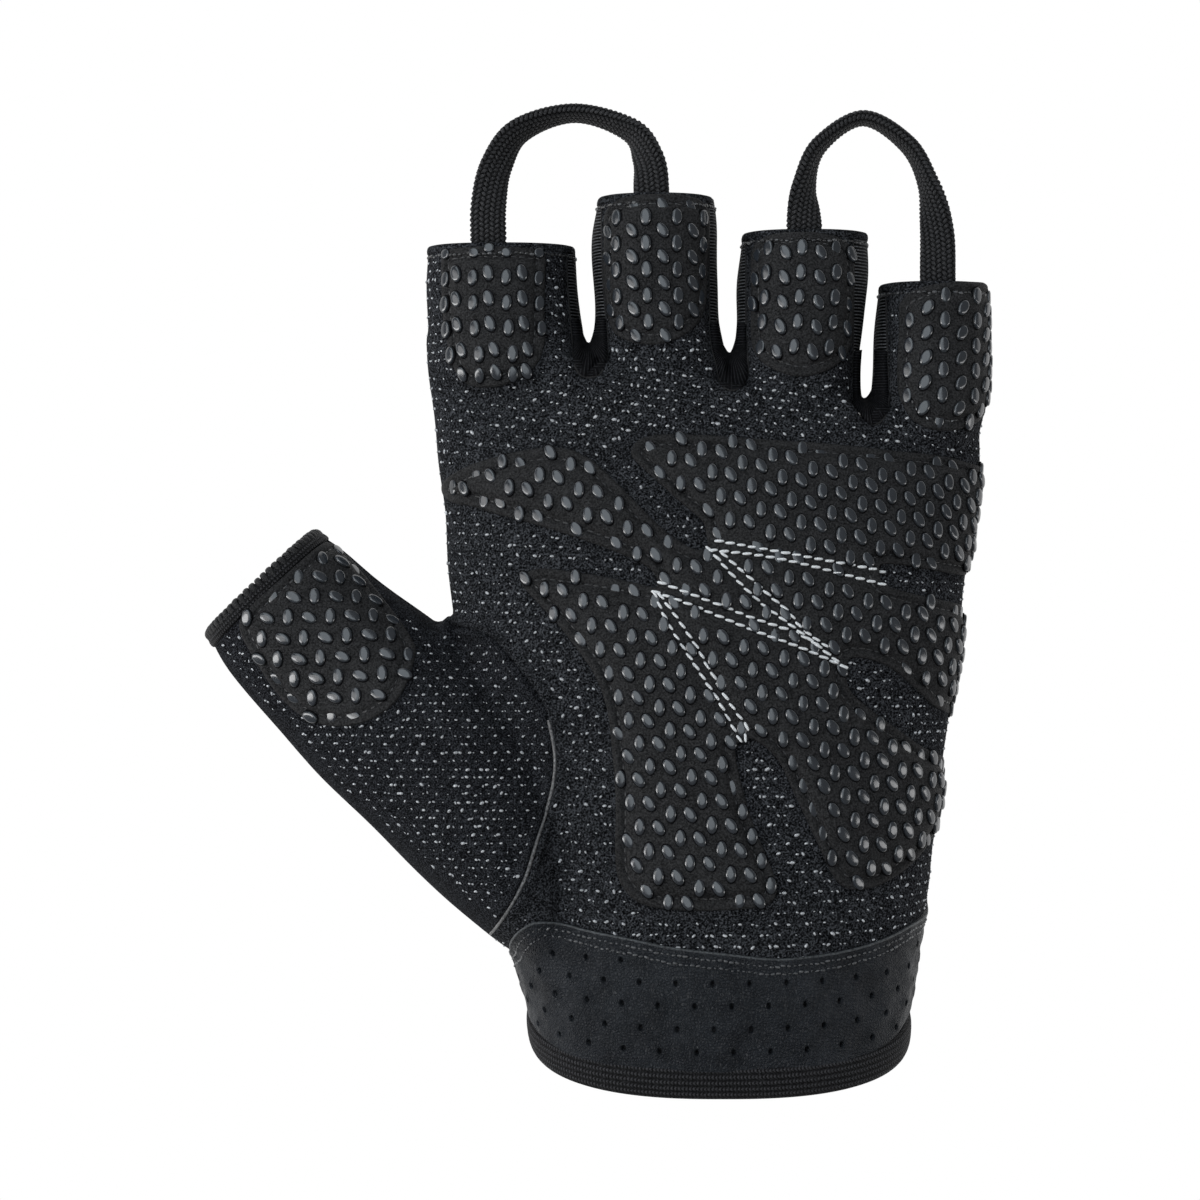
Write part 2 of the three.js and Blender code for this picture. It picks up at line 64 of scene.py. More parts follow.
sideShare = 0.42  # height of the widest place, as a share of a section's height
press = 3.2  # how far a section would reach below the table, on which it lies flat
lowerRound = 2.3
leanLevel = 17.0
slantCentre = 20.0
columns = ("at", "left", "right", "top", "round", "lean", "slant")
plainForm = (2.3, 0.0, 0.0)  # roundness, lean and slant of a row that gives only its first four columns

handRows = [
    (-77.4, -11.7, 54.4, 41.2, 2.5, 0.37, 0),
    (-70.6, -12.6, 54.9, 41.5, 2.35, 0.3, 0),
    (-63.6, -15.0, 56.3, 40.9, 2.3, 0.18, 0),
    (-51.0, -17.3, 58.9, 39.5, 2.25, 0.05, 0),
    (-34.0, -20.0, 60.9, 38.5, 2.3, 0, 0),
    (-16.4, -25.0, 63.1, 37.5, 2.35, 0, 0),
    (0.9, -26.8, 65.3, 35.5, 2.4, 0, 0.03),
    (18.0, -28.6, 66.8, 32.0, 2.4, 0, 0.08),
    (29.0, -30.5, 68.4, 28.5, 2.4, 0, 0.13),
    (39.5, -31.3, 68.9, 25.7, 2.4, 0, 0.16),
]
indexRows = [
    (29.0, -23.0, -2.0, 21.0),
    (40.0, -30.9, 0.6, 25.5),
    (44.5, -30.7, -1.3, 24.8),
    (49.0, -31.0, -3.2, 24.0),
    (57.8, -31.5, -4.1, 23.0),
    (63.8, -31.2, -4.6, 22.0),
]
middleRows = [
    (28.0, -2.6, 24.0, 25.0),
    (38.0, -3.6, 25.2, 26.6),
    (43.0, -2.8, 23.8, 25.6),
    (49.0, -0.9, 21.5, 24.8),
    (58.2, -1.2, 21.2, 23.8),
    (67.0, -1.5, 21.1, 23.0),
    (72.7, -0.3, 20.4, 22.0),
]
ringRows = [
    (26.0, 22.4, 46.8, 24.4),
    (36.0, 21.8, 46.7, 26.0),
    (42.0, 22.9, 46.6, 25.0),
    (48.4, 24.9, 47.2, 24.2),
    (58.0, 24.7, 48.5, 23.2),
    (66.2, 25.8, 48.4, 22.0),
]
littleRows = [
    (6.0, 50.0, 54.0, 9.0),
    (17.0, 50.0, 59.5, 17.0),
    (30.0, 48.4, 69.2, 24.6),
    (36.0, 48.9, 69.8, 23.6),
    (46.6, 49.6, 70.0, 22.4),
    (57.0, 50.6, 70.0, 21.0),
]
thumbRows = [
    (-85.0, -8.0, 2.0, 32.0),
    (-78.0, -11.4, 5.0, 35.0),
    (-71.0, -12.7, 10.0, 36.8),
    (-63.6, -13.8, 16.0, 36.8),
    (-51.4, -14.3, 21.0, 35.2),
    (-39.0, -14.7, 21.9, 33.0),
    (-27.0, -15.0, 19.3, 29.0),
    (-14.0, -15.0, 16.8, 26.0),
    (-3.0, -14.0, 15.9, 24.0),
    (1.7, -12.3, 14.2, 23.0),
]
thumbTip = np.array([-60.6, 1.1])
thumbHeading = math.radians(133.5)


def bulged(wave, power):
    # a sine or cosine drawn towards a square, with its sign kept
    return np.sign(wave) * np.abs(wave) ** power


class Limb:
    # A tube through flattened sections, whose sizes run smoothly from row to row.

    def __init__(self, rows, base=(0.0, 0.0), heading=math.pi / 2, smooth=2.2):
        full = np.array([tuple(r) + plainForm[len(r) - 4 :] for r in rows], float)
        self.first, self.last = full[0, 0], full[-1, 0]
        self.base = np.array(base)
        self.along = np.array([math.cos(heading), math.sin(heading)])
        self.across = np.array([self.along[1], -self.along[0]])
        step, past, reach = 0.5, 12, 12  # of the table, past both ends, and of the smoothing in steps
        self.at = np.arange(self.first - past, self.last + past + step, step)
        kernel = np.exp(-0.5 * (np.arange(-reach, reach + 1) * step / smooth) ** 2)
        kernel /= kernel.sum()
        self.table = {}
        for i, name in enumerate(columns[1:], 1):
            values = np.interp(self.at, full[:, 0], full[:, i])
            # the sizes run on past both ends as they were going
            for end, a, b in ((self.at < self.first, 0, 1), (self.at > self.last, -1, -2)):
                slope = (full[a, i] - full[b, i]) / (full[a, 0] - full[b, 0])
                values[end] = full[a, i] + slope * (self.at[end] - full[a, 0])
            self.table[name] = np.convolve(np.pad(values, reach, mode="edge"), kernel, mode="valid")

    def sizes(self, s):
        return {name: np.interp(s, self.at, values) for name, values in self.table.items()}

    def point(self, angle, s, grow=0.0):
        r = self.sizes(s)
        side = sideShare * r["top"]
        half = (r["right"] - r["left"]) / 2 + grow
        sine, cosine = np.sin(angle), np.cos(angle)
        upper = sine >= 0
        power = 2 / np.where(upper, r["round"], lowerRound)
        reach = np.where(upper, r["top"] - side, side + press) + grow
        u = (r["right"] + r["left"]) / 2 + half * bulged(cosine, power)
        z = side + reach * bulged(sine, power)
        t = s - r["slant"] * (u - slantCentre) - r["lean"] * (z - leanLevel)
        place = self.base + t[..., None] * self.along + u[..., None] * self.across
        return np.concatenate([place, z[..., None]], -1)

    def local(self, xy):
        d = np.asarray(xy) - self.base
        return d @ self.along, d @ self.across


hand = Limb(handRows, smooth=3.0)
fingers = {
    "index": Limb(indexRows),
    "middle": Limb(middleRows),
    "ring": Limb(ringRows),
    "little": Limb(littleRows),
}
thumb = Limb(thumbRows, thumbTip, thumbHeading, smooth=3.0)
limbs = {"hand": hand, "thumb": thumb, **fingers}


# helpers for lines and meshes


def bell(gap, width):
    # one in the middle, falling off to nothing past the width
    return np.exp(-((gap / width) ** 2))


def softStep(share):
    return share * share * (3 - 2 * share)


def unit(rows):
    return rows / np.maximum(np.linalg.norm(rows, axis=-1, keepdims=True), 1e-9)


def runAlong(line):
    # how far along a line each of its points lies
    return np.concatenate([[0], np.cumsum(np.linalg.norm(np.diff(line, axis=0), axis=1))])


def wayRound(line):
    # the way that a closed line runs at each of its points
    return np.roll(line, -1, axis=0) - np.roll(line, 1, axis=0)


def averaged(values, count):
    return np.convolve(np.pad(values, count // 2, mode="edge"), np.ones(count) / count, mode="valid")


def signedArea(outline):
    # negative where the outline runs clockwise
    after = np.roll(outline, -1, axis=0)
    return np.sum(outline[:, 0] * after[:, 1] - after[:, 0] * outline[:, 1])


def sideEdges(tris):
    return np.concatenate([tris[:, [0, 1]], tris[:, [1, 2]], tris[:, [2, 0]]])


def plainEdges(tris):
    # each edge once
    return np.unique(np.sort(sideEdges(tris), axis=1), axis=0)


def setFloats(ob, label, values):
    layer = ob.data.attributes.new(label, "FLOAT", "POINT")
    layer.data.foreach_set("value", np.ascontiguousarray(values, float))


def meshObject(name, points, faces, smooth=True):
    mesh = bpy.data.meshes.new(name)
    mesh.from_pydata((np.asarray(points) * mm).tolist(), [], [list(map(int, f)) for f in faces])
    mesh.validate()
    if smooth:
        mesh.polygons.foreach_set("use_smooth", [True] * len(mesh.polygons))
    ob = bpy.data.objects.new(name, mesh)
    bpy.context.scene.collection.objects.link(ob)
    return ob


def loftFaces(rings, around, closed=True, caps=True):
    faces = []
    for r in range(rings - 1):
        for k in range(around if closed else around - 1):
            a, b = r * around + k, r * around + (k + 1) % around
            faces.append((a, a + around, b + around, b))
    if caps:
        faces.append(tuple(range(around)))
        faces.append(tuple(range((rings - 1) * around, rings * around))[::-1])
    return faces


def joinInto(target, others):
    bpy.ops.object.select_all(action="DESELECT")
    for o in [target, *others]:
        o.select_set(True)
    bpy.context.view_layer.objects.active = target
    bpy.ops.object.join()
    return target


def arrays(ob):
    # Points in millimetres, and triangles, of an object's mesh.
    mesh = ob.data
    mesh.calc_loop_triangles()
    points = np.empty(len(mesh.vertices) * 3)
    mesh.vertices.foreach_get("co", points)
    tris = np.empty(len(mesh.loop_triangles) * 3, int)
    mesh.loop_triangles.foreach_get("vertices", tris)
    return points.reshape(-1, 3) / mm, tris.reshape(-1, 3)


def vertexNormals(points, tris):
    a, b, c = points[tris[:, 0]], points[tris[:, 1]], points[tris[:, 2]]
    face = np.cross(b - a, c - a)
    normals = np.zeros_like(points)
    for i in range(3):
        np.add.at(normals, tris[:, i], face)
    return unit(normals)


def relax(points, tris, rounds, share=0.5, back=1.04):
    # Evens out a surface, moving each point towards the mean of its neighbours and then back, so that
    # the form keeps its size.
    edges = plainEdges(tris)
    count = np.zeros(len(points))
    for i in (0, 1):
        np.add.at(count, edges[:, i], 1)
    for _ in range(rounds):
        for weight in (share, -share * back):
            total = np.zeros_like(points)
            np.add.at(total, edges[:, 0], points[edges[:, 1]])
            np.add.at(total, edges[:, 1], points[edges[:, 0]])
            points = points + weight * (total / np.maximum(count, 1)[:, None] - points)
    return points


def cutAlong(points, tris, field):
    # Splits the triangles where the field changes sign, so that an edge runs along its zero line.
    f = field(points)
    f = np.where(np.abs(f) < 1e-4, 1e-4, f)
    sign = f > 0
    crossing = sign[tris].any(1) & ~sign[tris].all(1)
    whole, split = tris[~crossing], tris[crossing]
    if not len(split):
        return points, tris
    lone = np.where(sign[split].sum(1) == 1, sign[split].argmax(1), (~sign[split]).argmax(1))
    rows = np.arange(len(split))
    a, b, c = split[rows, lone], split[rows, (lone + 1) % 3], split[rows, (lone + 2) % 3]
    pairs = np.concatenate([np.sort(np.stack([a, b], 1), 1), np.sort(np.stack([a, c], 1), 1)])
    unique, inverse = np.unique(pairs, axis=0, return_inverse=True)
    inverse = inverse.ravel()
    t = np.clip(f[unique[:, 0]] / (f[unique[:, 0]] - f[unique[:, 1]]), 0.02, 0.98)
    fresh = points[unique[:, 0]] + t[:, None] * (points[unique[:, 1]] - points[unique[:, 0]])
    ab, ac = inverse[: len(split)] + len(points), inverse[len(split) :] + len(points)
    added = np.concatenate([np.stack([a, ab, ac], 1), np.stack([ab, b, c], 1), np.stack([ab, c, ac], 1)])
    return np.concatenate([points, fresh]), np.concatenate([whole, added])


def keepFaces(name, points, tris, keep):
    used, compact = np.unique(tris[keep], return_inverse=True)
    return meshObject(name, points[used], compact.reshape(-1, 3))


def distanceTo(line, xy, closed=False):
    # Distance of each place from a line of points.
    line = np.asarray(line, float)
    if closed:
        line = np.vstack([line, line[:1]])
    start, step = line[:-1], np.diff(line, axis=0)
    length = np.linalg.norm(step, axis=1)
    best = np.full(len(xy), 1e9)
    for i in range(len(start)):
        d = xy - start[i]
        t = np.clip(d @ step[i] / max(length[i] ** 2, 1e-9), 0, 1)
        best = np.minimum(best, np.linalg.norm(d - t[:, None] * step[i], axis=1))
    return best


def inside(outline, xy):
    outline = np.asarray(outline)
    odd = np.zeros(len(xy), bool)
    x, y = xy[:, 0], xy[:, 1]
    for (x0, y0), (x1, y1) in zip(outline, np.roll(outline, -1, axis=0)):
        if y0 == y1:
            continue
        hit = (y0 > y) != (y1 > y)
        odd ^= hit & (x < (x1 - x0) * (y - y0) / (y1 - y0) + x0)
    return odd


def signedDistance(outline, xy):
    # Positive inside a closed outline.
    gap = distanceTo(outline, xy, closed=True)
    return np.where(inside(outline, xy), gap, -gap)


def rounded(line, step=1.0, closed=False, loops=2):
    # A line of corners as evenly spaced points, with its corners rounded off.
    line = np.asarray(line, float)
    for _ in range(loops):
        nxt = np.roll(line, -1, axis=0) if closed else line[1:]
        cur = line if closed else line[:-1]
        cut = np.stack([0.75 * cur + 0.25 * nxt, 0.25 * cur + 0.75 * nxt], 1).reshape(-1, line.shape[1])
        line = cut if closed else np.vstack([line[:1], cut, line[-1:]])
    return evenly(line, step, closed)


def evenly(line, step, closed=False):
    line = np.asarray(line, float)
    if closed:
        line = np.vstack([line, line[:1]])
    run = runAlong(line)
    count = max(2, int(round(run[-1] / step)))
    at = np.linspace(0, run[-1], count + 1)
    if closed:
        at = at[:-1]
    return np.stack([np.interp(at, run, line[:, i]) for i in range(line.shape[1])], 1)


def drawnIn(outline, depth):
    # A closed outline moved inwards, measured along its own normals.
    way = unit(np.roll(outline, -2, axis=0) - np.roll(outline, 2, axis=0))
    moved = outline + np.stack([-way[:, 1], way[:, 0]], 1) * depth * np.sign(signedArea(outline))
    return moved[signedDistance(outline, moved) > depth * 0.8]


# Shader node groups hold the effects that more than one finish uses


def link(tree, value, socket):
    if hasattr(value, "links"):
        tree.links.new(value, socket)
    else:
        socket.default_value = value


def node(tree, kind, inputs=None, **facts):
    n = tree.nodes.new(kind)
    for key, value in facts.items():
        setattr(n, key, value)
    for key, value in (inputs or {}).items():
        link(tree, value, n.inputs[key])
    return n


def maths(tree, operation, a, b=0.0):
    return node(tree, "ShaderNodeMath", {0: a, 1: b}, operation=operation).outputs[0]


def spread(tree, value, low, high, start=0.0, end=1.0):
    inputs = {"Value": value, "From Min": low, "From Max": high, "To Min": start, "To Max": end}
    return node(tree, "ShaderNodeMapRange", inputs).outputs["Result"]


def tint(tree, share, dark, light):
    mix = node(tree, "ShaderNodeMix", data_type="RGBA")
    tree.links.new(share, mix.inputs["Factor"])
    for name, colour in (("A", dark), ("B", light)):
        # the float and colour sockets share their names, and the colour ones come last
        socket = [i for i in mix.inputs if i.name == name and i.type == "RGBA"][0]
        link(tree, colour if hasattr(colour, "links") else (*colour, 1), socket)
    return [o for o in mix.outputs if o.type == "RGBA"][0]


def shaderGroup(name, inputs, outputs):
    tree = bpy.data.node_groups.new(name, "ShaderNodeTree")
    for label, kind in inputs.items():
        tree.interface.new_socket(label, in_out="INPUT", socket_type="NodeSocket" + kind)
    for label in outputs:
        tree.interface.new_socket(label, in_out="OUTPUT", socket_type="NodeSocketFloat")
    return tree, tree.nodes.new("NodeGroupInput").outputs, tree.nodes.new("NodeGroupOutput").inputs


def makeGrain():
    # cloth grain: a fine noise of a given size in mm, with a slow mottle over it
    sockets = {"Place": "Vector", "Size": "Float", "Mottle": "Float"}
    tree, given, out = shaderGroup("clothGrain", sockets, ["Grain", "Patch"])
    for label, size, detail in (("Grain", "Size", 3.0), ("Patch", "Mottle", 2.0)):
        scale = maths(tree, "DIVIDE", 1 / mm, given[size])
        inputs = {"Vector": given["Place"], "Scale": scale, "Detail": detail, "Roughness": 0.62}
        fine = node(tree, "ShaderNodeTexNoise", inputs)
        tree.links.new(spread(tree, fine.outputs["Fac"], 0.3, 0.7), out[label])
    return tree


def makeKnit():
    # open knit: dark cells between raised threads, pitch in mm
    sockets = {"Place": "Vector", "Pitch": "Float", "Unevenness": "Float"}
    tree, given, out = shaderGroup("knitCells", sockets, ["Thread"])
    scale = maths(tree, "DIVIDE", 1 / mm, given["Pitch"])
    inputs = {"Vector": given["Place"], "Scale": scale, "Randomness": given["Unevenness"]}
    cells = node(tree, "ShaderNodeTexVoronoi", inputs)
    tree.links.new(spread(tree, cells.outputs["Distance"], 0.12, 0.62), out["Thread"])
    return tree


clothGrain = makeGrain()
knitCells = makeKnit()


class Finish:
    # one material being made, with short ways to add to it
    def __init__(self, name, roughness, specular=0.35):
        self.made = bpy.data.materials.new(name)
        self.made.use_nodes = True
        self.tree = self.made.node_tree
        self.shader = self.tree.nodes["Principled BSDF"]
        self.shader.inputs["Roughness"].default_value = roughness
        self.shader.inputs["Specular IOR Level"].default_value = specular
        self.place = node(self.tree, "ShaderNodeTexCoord").outputs["Object"]

    def group(self, tree, **inputs):
        n = node(self.tree, "ShaderNodeGroup")
        n.node_tree = tree
        for key, value in {"Place": self.place, **inputs}.items():
            link(self.tree, value, n.inputs[key])
        return n.outputs

    def own(self, label):
        # a value that the piece's own mesh holds
        return node(self.tree, "ShaderNodeAttribute", attribute_name=label).outputs["Fac"]

    def maths(self, operation, a, b=0.0):
        return maths(self.tree, operation, a, b)

    def spread(self, value, low, high, start=0.0, end=1.0):
        return spread(self.tree, value, low, high, start, end)

    def colour(self, share, dark, light):
        self.tree.links.new(tint(self.tree, share, dark, light), self.shader.inputs["Base Color"])

    def bump(self, height, depth, strength=1.0):
        inputs = {"Height": height, "Strength": strength, "Distance": depth * mm}
        raised = node(self.tree, "ShaderNodeBump", inputs).outputs["Normal"]
        self.tree.links.new(raised, self.shader.inputs["Normal"])


def knitMaterial(name, dark, light, pitch, grainSize, depth):
    # open knit whose raised threads spark here and there, the sparks being painted highlights in its colour
    f = Finish(name, roughness=0.85, specular=0.02)
    thread = f.group(knitCells, Pitch=pitch, Unevenness=0.85)["Thread"]
    cloth = f.group(clothGrain, Size=grainSize, Mottle=2.6)
    spark = f.spread(cloth["Grain"], 0.42, 0.72)
    lit = f.maths("ADD", f.maths("MULTIPLY", thread, 0.2), spark)
    both = f.maths("MULTIPLY", lit, f.spread(thread, 0.1, 0.6, 0.1, 1.0))
    share = f.maths("MULTIPLY", both, f.spread(cloth["Patch"], 0.0, 1.0, 0.6, 1.0))
    f.colour(share, dark, light)
    f.bump(f.maths("ADD", thread, cloth["Grain"]), depth, 0.8)
    return f.made


def ribbedMaterial(name, dark, light, pitch):
    # stretch strip whose fine ribs lie where the piece's own "rib" places in mm say; its colour is painted
    # light on each rib and dark between them, as painted highlight and shade
    f = Finish(name, roughness=0.75, specular=0.06)
    cloth = f.group(clothGrain, Size=0.34, Mottle=9.0)
    at = f.maths("MULTIPLY", f.own("rib"), tau / pitch)
    turns = f.maths("ADD", at, f.maths("MULTIPLY", cloth["Patch"], 2.0))
    rib = f.spread(f.maths("SINE", turns), -0.6, 1.0)
    uneven = f.spread(cloth["Grain"], 0.0, 1.0, 0.15, 1.3)
    f.colour(f.maths("MULTIPLY", f.maths("MULTIPLY", rib, rib), uneven), dark, light)
    f.bump(rib, 0.2)
    return f.made


def hemMaterial(name, dark, light, rowWidth, chainPitch):
    # binding tape knitted in rows of small chain stitches, along the piece's own weave places in mm; its
    # colour is painted darker between the stitches, as painted shade
    f = Finish(name, roughness=0.7, specular=0.15)
    weave = node(f.tree, "ShaderNodeAttribute", attribute_name="weave").outputs["Vector"]
    axes = node(f.tree, "ShaderNodeSeparateXYZ", {"Vector": weave}).outputs
    row = f.maths("FRACT", f.maths("MULTIPLY", axes["Y"], 1 / rowWidth))
    lean = f.maths("ABSOLUTE", f.maths("SUBTRACT", row, 0.5))
    chain = f.maths("FRACT", f.maths("ADD", f.maths("MULTIPLY", axes["X"], 1 / chainPitch), lean))
    arcs = [f.maths("SINE", f.maths("MULTIPLY", share, math.pi)) for share in (chain, row)]
    height = f.maths("MULTIPLY", *arcs)
    grain = f.group(clothGrain, Size=0.3, Mottle=4.0)["Grain"]
    uneven = f.spread(grain, 0.0, 1.0, -0.3, 0.4)
    f.colour(f.maths("ADD", f.maths("MULTIPLY", height, height), uneven), dark, light)
    f.bump(height, 0.26)
    return f.made


def leatherMaterial(name, dark, light, poreSize=0.55):
    # thin leather with fine pores and slow patches
    f = Finish(name, roughness=0.5, specular=0.2)
    inputs = {"Vector": f.place, "Scale": 1 / (poreSize * mm)}
    cracks = node(f.tree, "ShaderNodeTexVoronoi", inputs, feature="DISTANCE_TO_EDGE").outputs["Distance"]
    cloth = f.group(clothGrain, Size=1.4, Mottle=7.0)
    f.colour(cloth["Patch"], dark, light)
    link(f.tree, f.spread(cloth["Grain"], 0.0, 1.0, 0.4, 0.6), f.shader.inputs["Roughness"])
    wrinkles = f.maths("MULTIPLY", cloth["Grain"], 0.8)
    f.bump(f.maths("ADD", f.spread(cracks, 0.0, 0.25), wrinkles), 0.16, 0.9)
    return f.made


def gripMaterial(name, dark, light):
    # felted cloth of the grip pads
    f = Finish(name, roughness=0.7, specular=0.12)
    cloth = f.group(clothGrain, Size=0.34, Mottle=6.0)
    speck = f.maths("MULTIPLY", f.spread(cloth["Grain"], 0.15, 0.85), 0.75)
    f.colour(f.maths("ADD", speck, f.maths("MULTIPLY", cloth["Patch"], 0.15)), dark, light)
    f.bump(cloth["Grain"], 0.12, 0.8)
    return f.made


def threadMaterial(name, dark, light, strand, roughness=0.5, specular=0.35):
    f = Finish(name, roughness, specular)
    cloth = f.group(clothGrain, Size=strand, Mottle=3.0)
    f.colour(cloth["Grain"], dark, light)
    f.bump(cloth["Grain"], 0.08)
    return f.made


def braidMaterial(name, dark, light):
    # a strand is painted dark where it dips under its neighbours, as painted shade, which its rise tells
    f = Finish(name, roughness=0.5, specular=0.1)
    cloth = f.group(clothGrain, Size=0.26, Mottle=3.0)
    above = f.spread(f.own("rise"), 0.42, 1.0)
    lit = f.maths("MULTIPLY", f.maths("MULTIPLY", above, above), f.spread(cloth["Grain"], 0.0, 1.0, 0.2, 1.3))
    f.colour(lit, dark, light)
    f.bump(cloth["Grain"], 0.08)
    return f.made


def dotMaterial(name, dark, light):
    # moulded rubber, glossy on top and dull towards the foot of each dot; its colour is painted dark towards
    # the foot, as painted shade, and light above it, partly the rubber's own tone and partly a painted
    # reflection
    f = Finish(name, roughness=0.3, specular=0.9)
    cloth = f.group(clothGrain, Size=0.5, Mottle=5.0)
    proud = f.spread(f.own("rise"), 0.13, 0.36)
    f.colour(f.maths("MULTIPLY", proud, f.spread(cloth["Patch"], 0.0, 1.0, 0.75, 1.0)), dark, light)
    gloss = f.spread(cloth["Grain"], 0.0, 1.0, 0.12, 0.22)
    rough = f.maths("ADD", gloss, f.maths("MULTIPLY", f.maths("SUBTRACT", 1.0, proud), 0.6))
    link(f.tree, rough, f.shader.inputs["Roughness"])
    return f.made


knit = knitMaterial("knit_mesh", (0.0004, 0.0005, 0.0007), (0.066, 0.07, 0.078), 0.5, 0.34, 0.2)
fineKnit = knitMaterial("fine_knit", (0.0004, 0.0005, 0.0007), (0.046, 0.049, 0.056), 0.4, 0.27, 0.14)
stretch = knitMaterial("stretch_knit", (0.0015, 0.0015, 0.0019), (0.034, 0.034, 0.037), 0.3, 0.3, 0.08)
# two copies of one ribbed elastic: the strip walls take a copy painted much lighter, as painted light where
# the fingers shade them, and the feet a darker copy, as painted shade
ribbedLitWalls = ribbedMaterial("ribbed_elastic", (0.0006, 0.0006, 0.0008), (0.17, 0.175, 0.185), 0.58)
ribbedShadedFold = ribbedMaterial("ribbed_fold_shaded", (0.004, 0.004, 0.0048), (0.026, 0.027, 0.03), 0.5)
hemTape = hemMaterial("edge_elastic", (0.001, 0.001, 0.0013), (0.046, 0.046, 0.05), 0.82, 0.62)
leather = leatherMaterial("perforated_leather", (0.0056, 0.007, 0.0094), (0.0168, 0.0196, 0.024))
gripCloth = gripMaterial("grip_cloth", (0.0022, 0.0022, 0.0024), (0.043, 0.043, 0.0445))
dotRubber = dotMaterial("grip_dot", (0.0006, 0.0006, 0.0008), (0.024, 0.0285, 0.035))
# the disc under each dot is painted near black, as painted shade round the dot's foot
dotFootShade = threadMaterial("dot_foot_shade", (0.0015, 0.0015, 0.0018), (0.008, 0.008, 0.0088), 0.5, 0.9, 0.05)
# flecks painted near white, as painted glints where the knit's threads catch the light
paintedGlint = threadMaterial("knit_painted_glint", (0.2, 0.21, 0.23), (0.85, 0.87, 0.9), 0.3, 0.3)
piping = threadMaterial("seam_piping", (0.01, 0.01, 0.011), (0.25, 0.25, 0.253), 0.45, 0.6)
cutEdge = threadMaterial("cut_edge", (0.01, 0.0115, 0.013), (0.085, 0.093, 0.1), 0.5)
whiteThread = threadMaterial("white_thread", (0.66, 0.69, 0.72), (0.97, 0.98, 0.98), 0.22)
blackThread = threadMaterial("black_thread", (0.0008, 0.0008, 0.001), (0.026, 0.027, 0.03), 0.4, 0.3, 0.7)
# a thread painted lighter than the black one, as painted glints on the stitches
glintThread = threadMaterial("seam_thread_painted_glint", (0.0006, 0.0006, 0.0008), (0.1, 0.104, 0.112), 0.5, 0.28, 0.9)
edgeThread = threadMaterial("overlock_thread", (0.0008, 0.0008, 0.001), (0.010, 0.010, 0.0115), 0.22)
braidThread = braidMaterial("braid_thread", (0.0006, 0.0006, 0.0008), (0.066, 0.066, 0.069))
print("materials made")


# the knitted skin, as one surface that is then cut along its seams


def limbShell(limb, start, end, around=88, step=1.6):
    stations = np.linspace(start, end, max(3, int((end - start) / step)))
    s, angles = np.meshgrid(stations, np.linspace(0, tau, around, endpoint=False), indexing="ij")
    return limb.point(angles, s).reshape(-1, 3), loftFaces(len(stations), around)


def fused(name, pieces, voxel):
    # Overlapping closed forms as one evenly meshed surface, in millimetres.
    points, faces, offset = [], [], 0
    for p, f in pieces:
        points.append(p)
        faces += [tuple(i + offset for i in face) for face in f]
        offset += len(p)
    ob = meshObject(name, np.concatenate(points), faces)
    even = ob.modifiers.new("even", "REMESH")
    even.mode = "VOXEL"
    even.voxel_size = voxel * mm
    mesh = bpy.data.meshes.new_from_object(ob.evaluated_get(bpy.context.evaluated_depsgraph_get()))
    ob.modifiers.clear()
    ob.data = mesh
    got = arrays(ob)
    bpy.data.objects.remove(ob)
    return got


skin = {
    "voxel": 0.72,
    "evening": 6,
    "past": 3.0,
    "panelWall": 1.1,
    "stripWall": 0.9,
    "webMiddle": (-27.8, -7.3, 13.0),
    "webHalf": (3.7, 3.5, 9.5),
}


def webShell(around=28, rings=14):
    # a rounded filling where the thumb parts from the palm
    heights = np.linspace(-0.5 * math.pi, 0.5 * math.pi, rings + 2)[1:-1]
    rise, turn = np.meshgrid(heights, tau * np.arange(around) / around, indexing="ij")
    points = np.stack([np.cos(rise) * np.cos(turn), np.cos(rise) * np.sin(turn), np.sin(rise)], -1)
    points = points * skin["webHalf"] + skin["webMiddle"]
    return points.reshape(-1, 3), [face[::-1] for face in loftFaces(rings, around)]


def allLimbs(past):
    tubes = [limbShell(finger, finger.first, finger.last + past, 72) for finger in fingers.values()]
    thumbTube = limbShell(thumb, thumb.first, thumb.last + past)
    return [limbShell(hand, hand.first - past, hand.last, 120), thumbTube, webShell(), *tubes]


outerPoints, outerTris = fused("skin", allLimbs(skin["past"]), skin["voxel"])
outerPoints = relax(outerPoints, outerTris, skin["evening"])
outerPoints[:, 2] = np.maximum(outerPoints[:, 2], 0.0)
print("skin of", len(outerTris), "triangles")

# the seams: height of the side seam at places along the glove, the seam round the heel of the thumb in
# pixels of the photo, and the upper edge of the band in mm
seams = {
    "side": [(-120, 15.0), (-40, 14.5), (0, 13.0), (30, 10.5), (80, 9.0), (120, 9.0)],
    "heelStart": (-26.6, -4.6),
    "heel": [
        (470, 628), (492, 636), (514, 662), (536, 691), (546, 708), (551, 730), (556, 754),
        (555, 780), (547, 810), (543, 822), (534, 849), (528, 873), (517, 896), (496, 930), (470, 960),
    ],
    "heelLevel": 33,
    "thumbCorners": [(-32, -78), (-95, -50), (-95, 30), (-32, 12)],
    "band": [
        (-19, -66.6), (-15.6, -64.0), (-11.2, -59.4), (-9.6, -58.6), (-6.5, -58.5), (0.2, -59.8),
        (7.5, -61.0), (21.0, -62.8), (33.1, -63.6), (43.5, -62.6), (51.8, -60.4), (55.6, -58.8),
        (59.5, -56.6), (64, -54.0),
    ],
    "fingerBorders": (-2.4, 23.0, 49.4),
    "fingerFoot": 45,
    "thumbBorder": -36,
    "stripLevel": 20,
    "stripFloor": 4.5,
}
